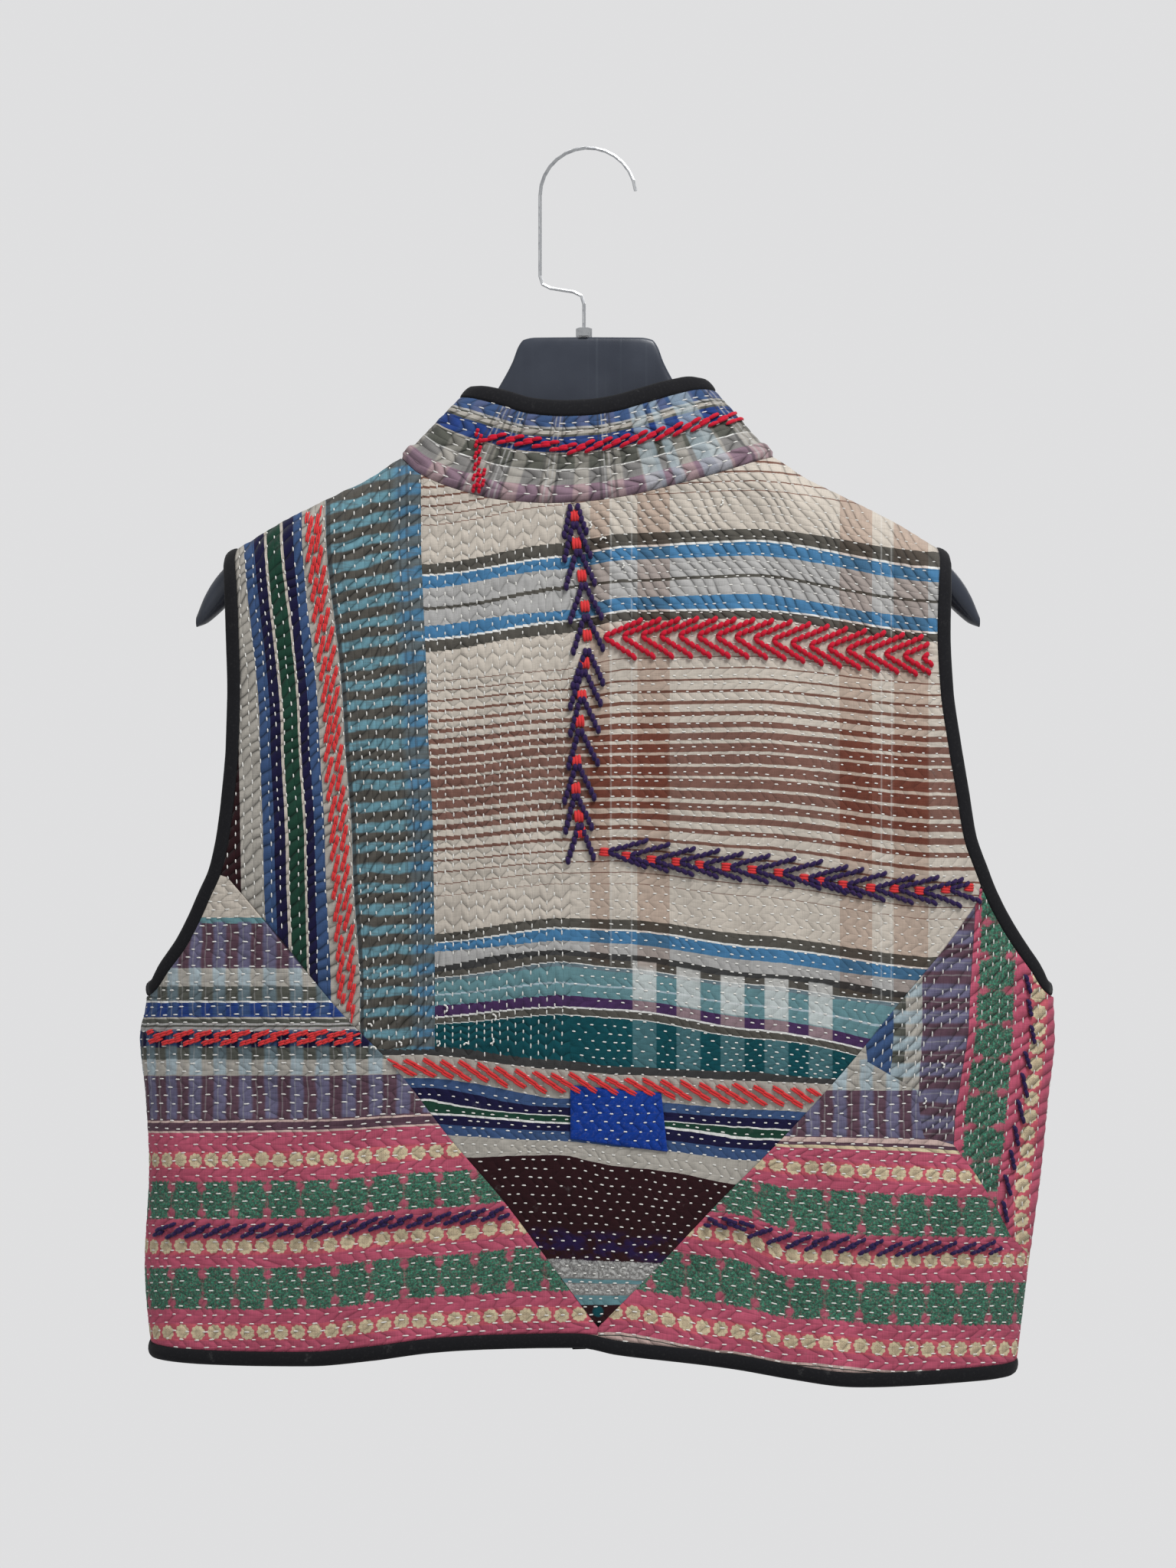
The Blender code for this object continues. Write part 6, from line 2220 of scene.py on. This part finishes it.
@dataclass
class WoolWork:
    """Embroidered arrows, chevrons and slanted strokes on the back and the collar, in chart steps."""

    looks: Looks
    panels: ClothPanels
    collar: Collar
    lift: float = 0.75
    margin: float = 7.0
    ridge: Curve = Curve(RIDGE)
    chevrons: int = 18
    chevron_start: float = 789
    chevron_step: float = 24.4
    navy_turn: float = 985
    navy_end: float = 1310
    rope_start: float = 638
    rope_step: float = 11.5
    rope_strokes: int = 29
    rope_reach: float = 13
    rope_slant: float = 3.6
    rope_turns: tuple[float, float] = (3.2, -2.8)
    rope_width: float = 5.6
    chain_top: tuple[float, float] = (626, 566)
    chain_step: float = 7.4
    chain_links: int = 11
    chain_double: int = 7
    chain_lean: float = 0.06
    chain_turn: float = 2.4
    chain_link: tuple[float, float] = (1.5, -5.0)
    chain_beside: tuple[float, float] = (8.5, 6.5)
    chain_width: float = 5.0
    overlap: float = 0.12
    stray: float = 0.4
    strand_gap: float = 0.78
    strand_reach: tuple[float, float] = (0.44, 0.52)
    strand_spread: float = 0.27
    strand_width: float = 0.6
    # parts of a slanted stroke, worked in joined stitches
    stitches: tuple[tuple[float, float], ...] = ((-1.0, -0.24), (-0.42, 0.42), (0.24, 1.0))

    def __post_init__(self) -> None:
        """Sets out the threads, the dice for small unevenness and the outlines of the back's panels."""
        names = ("navy_arrows", "coral_marks", "crimson_chevrons", "loose_thread_ends")
        self.navy, self.coral, self.crimson, self.pale = (Thread(name) for name in names)
        self.rng = np.random.default_rng(5)
        back = [sheet for sheet in self.panels.sheets if sheet.name.startswith("back")]
        self.outlines = {sheet.name: sheet.seen.reshape(-1, 2)[rim(*sheet.shape)] for sheet in back}

    def rope(
        self, thread: Thread, start: Array, end: Array, width: float, pieces: int, slant: float
    ) -> None:
        """A line of short overlapping strokes from start to end."""
        start, end = np.asarray(start, float), np.asarray(end, float)
        along = end - start
        aside = normal(along) * slant
        for k in range(pieces):
            low = start + along * ((k - self.overlap) / pieces)
            high = start + along * ((k + 1 + self.overlap) / pieces)
            off = normal(along) * self.rng.uniform(-self.stray, self.stray)
            self.stroke(thread, low + aside + off, high - aside + off, width)

    def chevron(
        self, thread: Thread, apex: Array, apart: Array, legs: Array, width: float, slant: float
    ) -> None:
        """Two ropes from an apex.

        Args:
            apart: from the apex to where the second rope starts; the first starts as far the other way.
            legs: how far the ends of both ropes are from the apex.
        """
        apex, apart, legs = np.array(apex, float), np.array(apart, float), np.array(legs, float)
        self.rope(thread, apex - apart, apex + legs[0], width, 6, slant)
        self.rope(thread, apex + apart, apex + legs[1], width, 6, -slant)

    def strands(self, centre: Array, along: Array, width: float, strands: int = 3) -> None:
        """A mark of strands side by side."""
        centre, along = np.asarray(centre, float), np.asarray(along, float)
        for k in range(strands):
            off = normal(along) * (k - (strands - 1) / 2) * width * self.strand_gap
            stretch = along * self.rng.uniform(*self.strand_reach)
            self.stroke(self.coral, centre + off - stretch, centre + off + stretch, width)

    def on_cloth(self, places: Array, panel: str) -> bool:
        """Whether places are on the panels so named."""
        outlines = [outline for name, outline in self.outlines.items() if name.startswith(panel)]
        return bool(np.any([inside(outline, places) for outline in outlines], axis=0).all())

    def stroke(self, thread: Thread, start: Array, end: Array, width: float, panel: str = "back") -> None:
        """One plump stroke between two chart places; none where there is no cloth of the panels so named."""
        ends = np.stack((np.asarray(start, float), np.asarray(end, float)))
        further = ends + np.sign(ends - CHART.middle[0]) * np.array([self.margin, 0.0])
        if not self.on_cloth(further, "back") or not self.on_cloth(ends, panel):
            return
        points, out = CHART.place(np.stack((ends[0], ends.mean(axis=0), ends[1])))
        points = points + out * self.lift
        thread.add_strokes(points[0], points[2], out[1], width * CHART.step)

    def slant(self, thread: Thread, centre: Array, along: Array, width: float, panel: str) -> None:
        """One stroke of a row of them, a little uneven, worked in joined stitches."""
        least = 0.36 if thread is self.navy else 0.47
        stretch = np.asarray(along, float) * self.rng.uniform(least, 0.53) + self.rng.uniform(-0.7, 0.7, 2)
        centre = np.asarray(centre, float) + self.rng.uniform(-0.8, 0.8, 2)
        side = normal(stretch)
        double, spread = thread is self.coral, self.strand_spread
        strands, share = ((-spread, spread), self.strand_width) if double else ((0.0,), 1.0)
        for off in strands:
            slip = centre + side * (off * width) + stretch * self.rng.uniform(-0.08, 0.08)
            for low, high in self.stitches:
                start, end = slip + stretch * low + side * 0.7, slip + stretch * high - side * 0.7
                self.stroke(thread, start, end, width * share, panel)

    def build(self) -> dict[str, bpy.types.Object]:
        """All wool work."""
        for x, y, left, right in ARROWS:
            self.chevron(self.navy, (x, y), (1, 0), ((left, 52), (right, 47)), 6.8, 2.2)
        for place in ARROW_MARKS:
            self.strands(place, (1.5, 17), 5.0)
        for x, y in LYING_MARKS:
            self.chevron(self.navy, (x + 5, y), (0, 1), ((52, -15), (50, 20)), 6.2, 1.9)
            self.strands((x, y), (14, 1), 4.4)
        for k in range(self.chevrons):
            x = self.chevron_start + self.chevron_step * k
            self.chevron(self.crimson, (x, float(self.ridge(x))), (0, 1), ((50, -22), (42, 28)), 6.8, 2.0)
        for rope in LAST_ROPE:
            self.rope(self.navy, *rope)
        self.upright_bands()
        self.lying_bands()
        self.collar_rope()
        self.loose_ends()
        made = {}
        threads = (self.navy, self.coral, self.crimson, self.pale)
        wools = (self.looks.navy, self.looks.coral, self.looks.crimson, self.looks.thread)
        for thread, wool in zip(threads, wools):
            made[thread.name] = thread.build(wool)
            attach(made[thread.name], "root")
        return made

    def upright_bands(self) -> None:
        """Slanted strokes up the left strips, and up the climbing border at the right."""
        for y, line in CORAL_STRIP.places():
            x = float(STRIP_WARP.find(y, line))
            self.slant(self.coral, (x, y), CORAL_STRIP.reach, CORAL_STRIP.width, "back_centre")
        for y, _ in NAVY_CLIMB.places():
            x = float(np.interp(y, *zip(*CLIMB)))
            self.slant(self.navy, (x, y), NAVY_CLIMB.reach, NAVY_CLIMB.width, "back_lower_right")

    def lying_bands(self) -> None:
        """Slanted strokes along the pale bands, the blue band and the rosy border."""
        across, down = CORAL_BAND.reach
        for x, line in CORAL_BAND.places():
            start = np.array([x, float(FIELD_WARP.find(x, line))])
            end = np.array([x + across, float(FIELD_WARP.find(x + across, line + down))])
            self.slant(self.coral, (start + end) / 2, end - start, CORAL_BAND.width, "back_centre")
        for x, line in CORAL_LEFT.places():
            y = float(BORDER_WARP.find(x, line))
            self.slant(self.coral, (x, y), CORAL_LEFT.reach, CORAL_LEFT.width, "back_lower_left")
        for (x, line), (right, right_line) in zip(NAVY_LEFT.places(), NAVY_RIGHT.places()):
            y = float(BORDER_WARP.find(x, line))
            self.slant(self.navy, (x, y), NAVY_LEFT.reach, NAVY_LEFT.width, "back_lower_left")
            if right < self.navy_end:
                y = float(CORNER_WARP.find(right, right_line))
                across, down = NAVY_RIGHT.reach
                reach = (across, down if right > self.navy_turn else -down)
                self.slant(self.navy, (right, y), reach, NAVY_RIGHT.width, "back_lower_right")

    def loose_ends(self) -> None:
        """Short curled ends of pale thread where the quilt was mended."""
        for x, y, length, lean in LOOSE_ENDS:
            place = np.array([x, y], float)
            for k in range(3):
                turn = lean + 0.9 * k
                ahead = place + length / 2.4 * np.array([math.cos(turn), -math.sin(turn)])
                self.stroke(self.pale, place, ahead, 2.4)
                place = ahead

    def collar_rope(self) -> None:
        """Red rope along the back of the collar, and the chain down its left end."""
        step = self.rope_step
        for k in range(self.rope_strokes):
            x = self.rope_start + step * k
            places = (x - self.rope_reach, x, x + self.rope_reach)
            before, y, after = np.interp(places, *zip(*COLLAR_ROPE))
            rise = (before - after) / 2 + self.rope_slant
            y += self.rope_turns[k % 2]
            self._on_collar((x - step, y + rise), (x + step, y - rise), self.rope_width)
        left, top = self.chain_top
        across, up = self.chain_link
        for k in range(self.chain_links):
            y = top + self.chain_step * k
            x = left - self.chain_lean * (y - top) + self.chain_turn * (1 if k % 2 else -1)
            self._on_collar((x + across, y + up), (x - across, y - up), self.chain_width)
            if k >= self.chain_double:
                start, end = self.chain_beside
                self._on_collar((x + start, y + up), (x + end, y - up), self.chain_width)

    def _on_collar(self, start: tuple[float, float], end: tuple[float, float], width: float) -> None:
        """One stroke on the collar, following its curve in two stitches."""
        places = np.stack((start, np.add(start, end) / 2, end)).astype(float)
        points, out = self.collar.place(places)
        points = points + out * self.lift
        for k in range(2):
            reach = (points[k + 1] - points[k]) * 0.1
            self.crimson.add_strokes(points[k] - reach, points[k + 1] + reach, out[k], width * CHART.step)


BACK_TAPES = ("armhole_binding_left", "armhole_binding_right", "hem_binding")


def main() -> None:
    """Builds the vest on its hanger, with floor, lights and camera."""
    logging.basicConfig(level=logging.INFO, format="%(message)s")
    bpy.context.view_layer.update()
    looks = Looks()
    panels = ClothPanels(looks)
    panels.build()
    collar = Collar(looks)
    band = collar.build()
    bindings = Bindings(looks, panels)
    bindings.build(collar)
    patch, patch_sheet = BluePatch(looks).build()
    hanger = Hanger(looks).build()
    wool = WoolWork(looks, panels, collar).build()
    extra = Thread("running_stitches_collar")
    extra.add_dashes(collar.sheet.dashes(np.random.default_rng(23)))
    extra.add_dashes(patch_sheet.dashes(np.random.default_rng(29)))
    stitches = extra.build(looks.thread)
    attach(stitches, "root")
    made, tapes = panels.pieces, bindings.pieces
    on_back = [made["running_stitches_back"], *wool.values(), *(tapes[name] for name in BACK_TAPES)]
    for sheet in (*panels.sheets, collar.sheet, patch_sheet):
        LOG.info("%s: %.4f square metres", sheet.name, sheet.area)
    meshes = [item.data for item in bpy.data.objects if item.type == "MESH"]
    LOG.info("faces in all: %d", sum(len(mesh.polygons) for mesh in meshes))
    Studio().build()


@dataclass(frozen=True)
class Studio:
    """Floor, soft lights, pale surroundings and the camera."""

    lens: float = 54.4
    eye: tuple[float, float, float] = (0.0, -1.35, -0.3614)
    seen: float = 0.74
    ambient: float = 0.42
    sensor: float = 36.0
    aim: tuple[float, float, float] = (0.0, 0.0, -0.42)
    floor_height: float = -1.15
    floor_radius: float = 0.9
    # place, size and power of each lamp
    lamps: Sequence[tuple[str, tuple[float, float, float], float, float]] = (
        ("key", (0.62, -0.9, 1.12), 0.6, 25.5),
        ("fill", (-1.3, -1.3, -0.2), 1.4, 1.5),
        ("behind", (0.4, 1.6, 0.4), 1.4, 9.0),
    )

    def build(self) -> None:
        """Puts up the studio."""
        scene = bpy.context.scene
        scene.view_settings.view_transform = "Standard"
        data = bpy.data.cameras.new("camera")
        data.lens = self.lens
        data.sensor_width = self.sensor
        camera = bpy.data.objects.new("camera", data)
        camera.location = self.eye
        camera.rotation_euler = (math.pi / 2, 0, 0)
        scene.collection.objects.link(camera)
        scene.camera = camera
        world = bpy.data.worlds.new("pale_room")
        world.use_nodes = True
        nodes, links = world.node_tree.nodes, world.node_tree.links
        around = nodes["Background"]
        around.inputs["Color"].default_value = (self.ambient, self.ambient * 1.01, self.ambient * 1.03, 1)
        paper = nodes.new("ShaderNodeBackground")
        paper.inputs["Color"].default_value = (self.seen, self.seen, self.seen * 1.01, 1)
        path, blend = nodes.new("ShaderNodeLightPath"), nodes.new("ShaderNodeMixShader")
        links.new(path.outputs["Is Camera Ray"], blend.inputs[0])
        links.new(around.outputs[0], blend.inputs[1])
        links.new(paper.outputs[0], blend.inputs[2])
        links.new(blend.outputs[0], nodes["World Output"].inputs["Surface"])
        scene.world = world
        for lamp in self.lamps:
            self._light(*lamp)
        self._floor()

    def _light(self, name: str, place: tuple[float, float, float], size: float, power: float) -> None:
        """A soft square light aimed at the vest."""
        data = bpy.data.lights.new(name, "AREA")
        data.size = size
        data.energy = power
        made = bpy.data.objects.new(name, data)
        made.location = place
        made.rotation_euler = (Vector(self.aim) - Vector(place)).to_track_quat("-Z", "Y").to_euler()
        bpy.context.scene.collection.objects.link(made)

    def _floor(self) -> None:
        """A plain pale floor below the vest."""
        bpy.ops.mesh.primitive_circle_add(vertices=64, radius=self.floor_radius, fill_type="NGON")
        floor = bpy.context.object
        floor.name = "floor"
        floor.data.transform(Matrix.Translation((0, 0, self.floor_height)))
        made, graph, shader = principled("pale_floor", 0.8)
        colour = graph.mix(graph.noise(graph.place(), 6.0), (0.58, 0.58, 0.58, 1), (0.66, 0.66, 0.66, 1))
        graph.put(shader.inputs["Base Color"], colour)
        floor.data.materials.append(made)


if __name__ == "__main__":
    main()
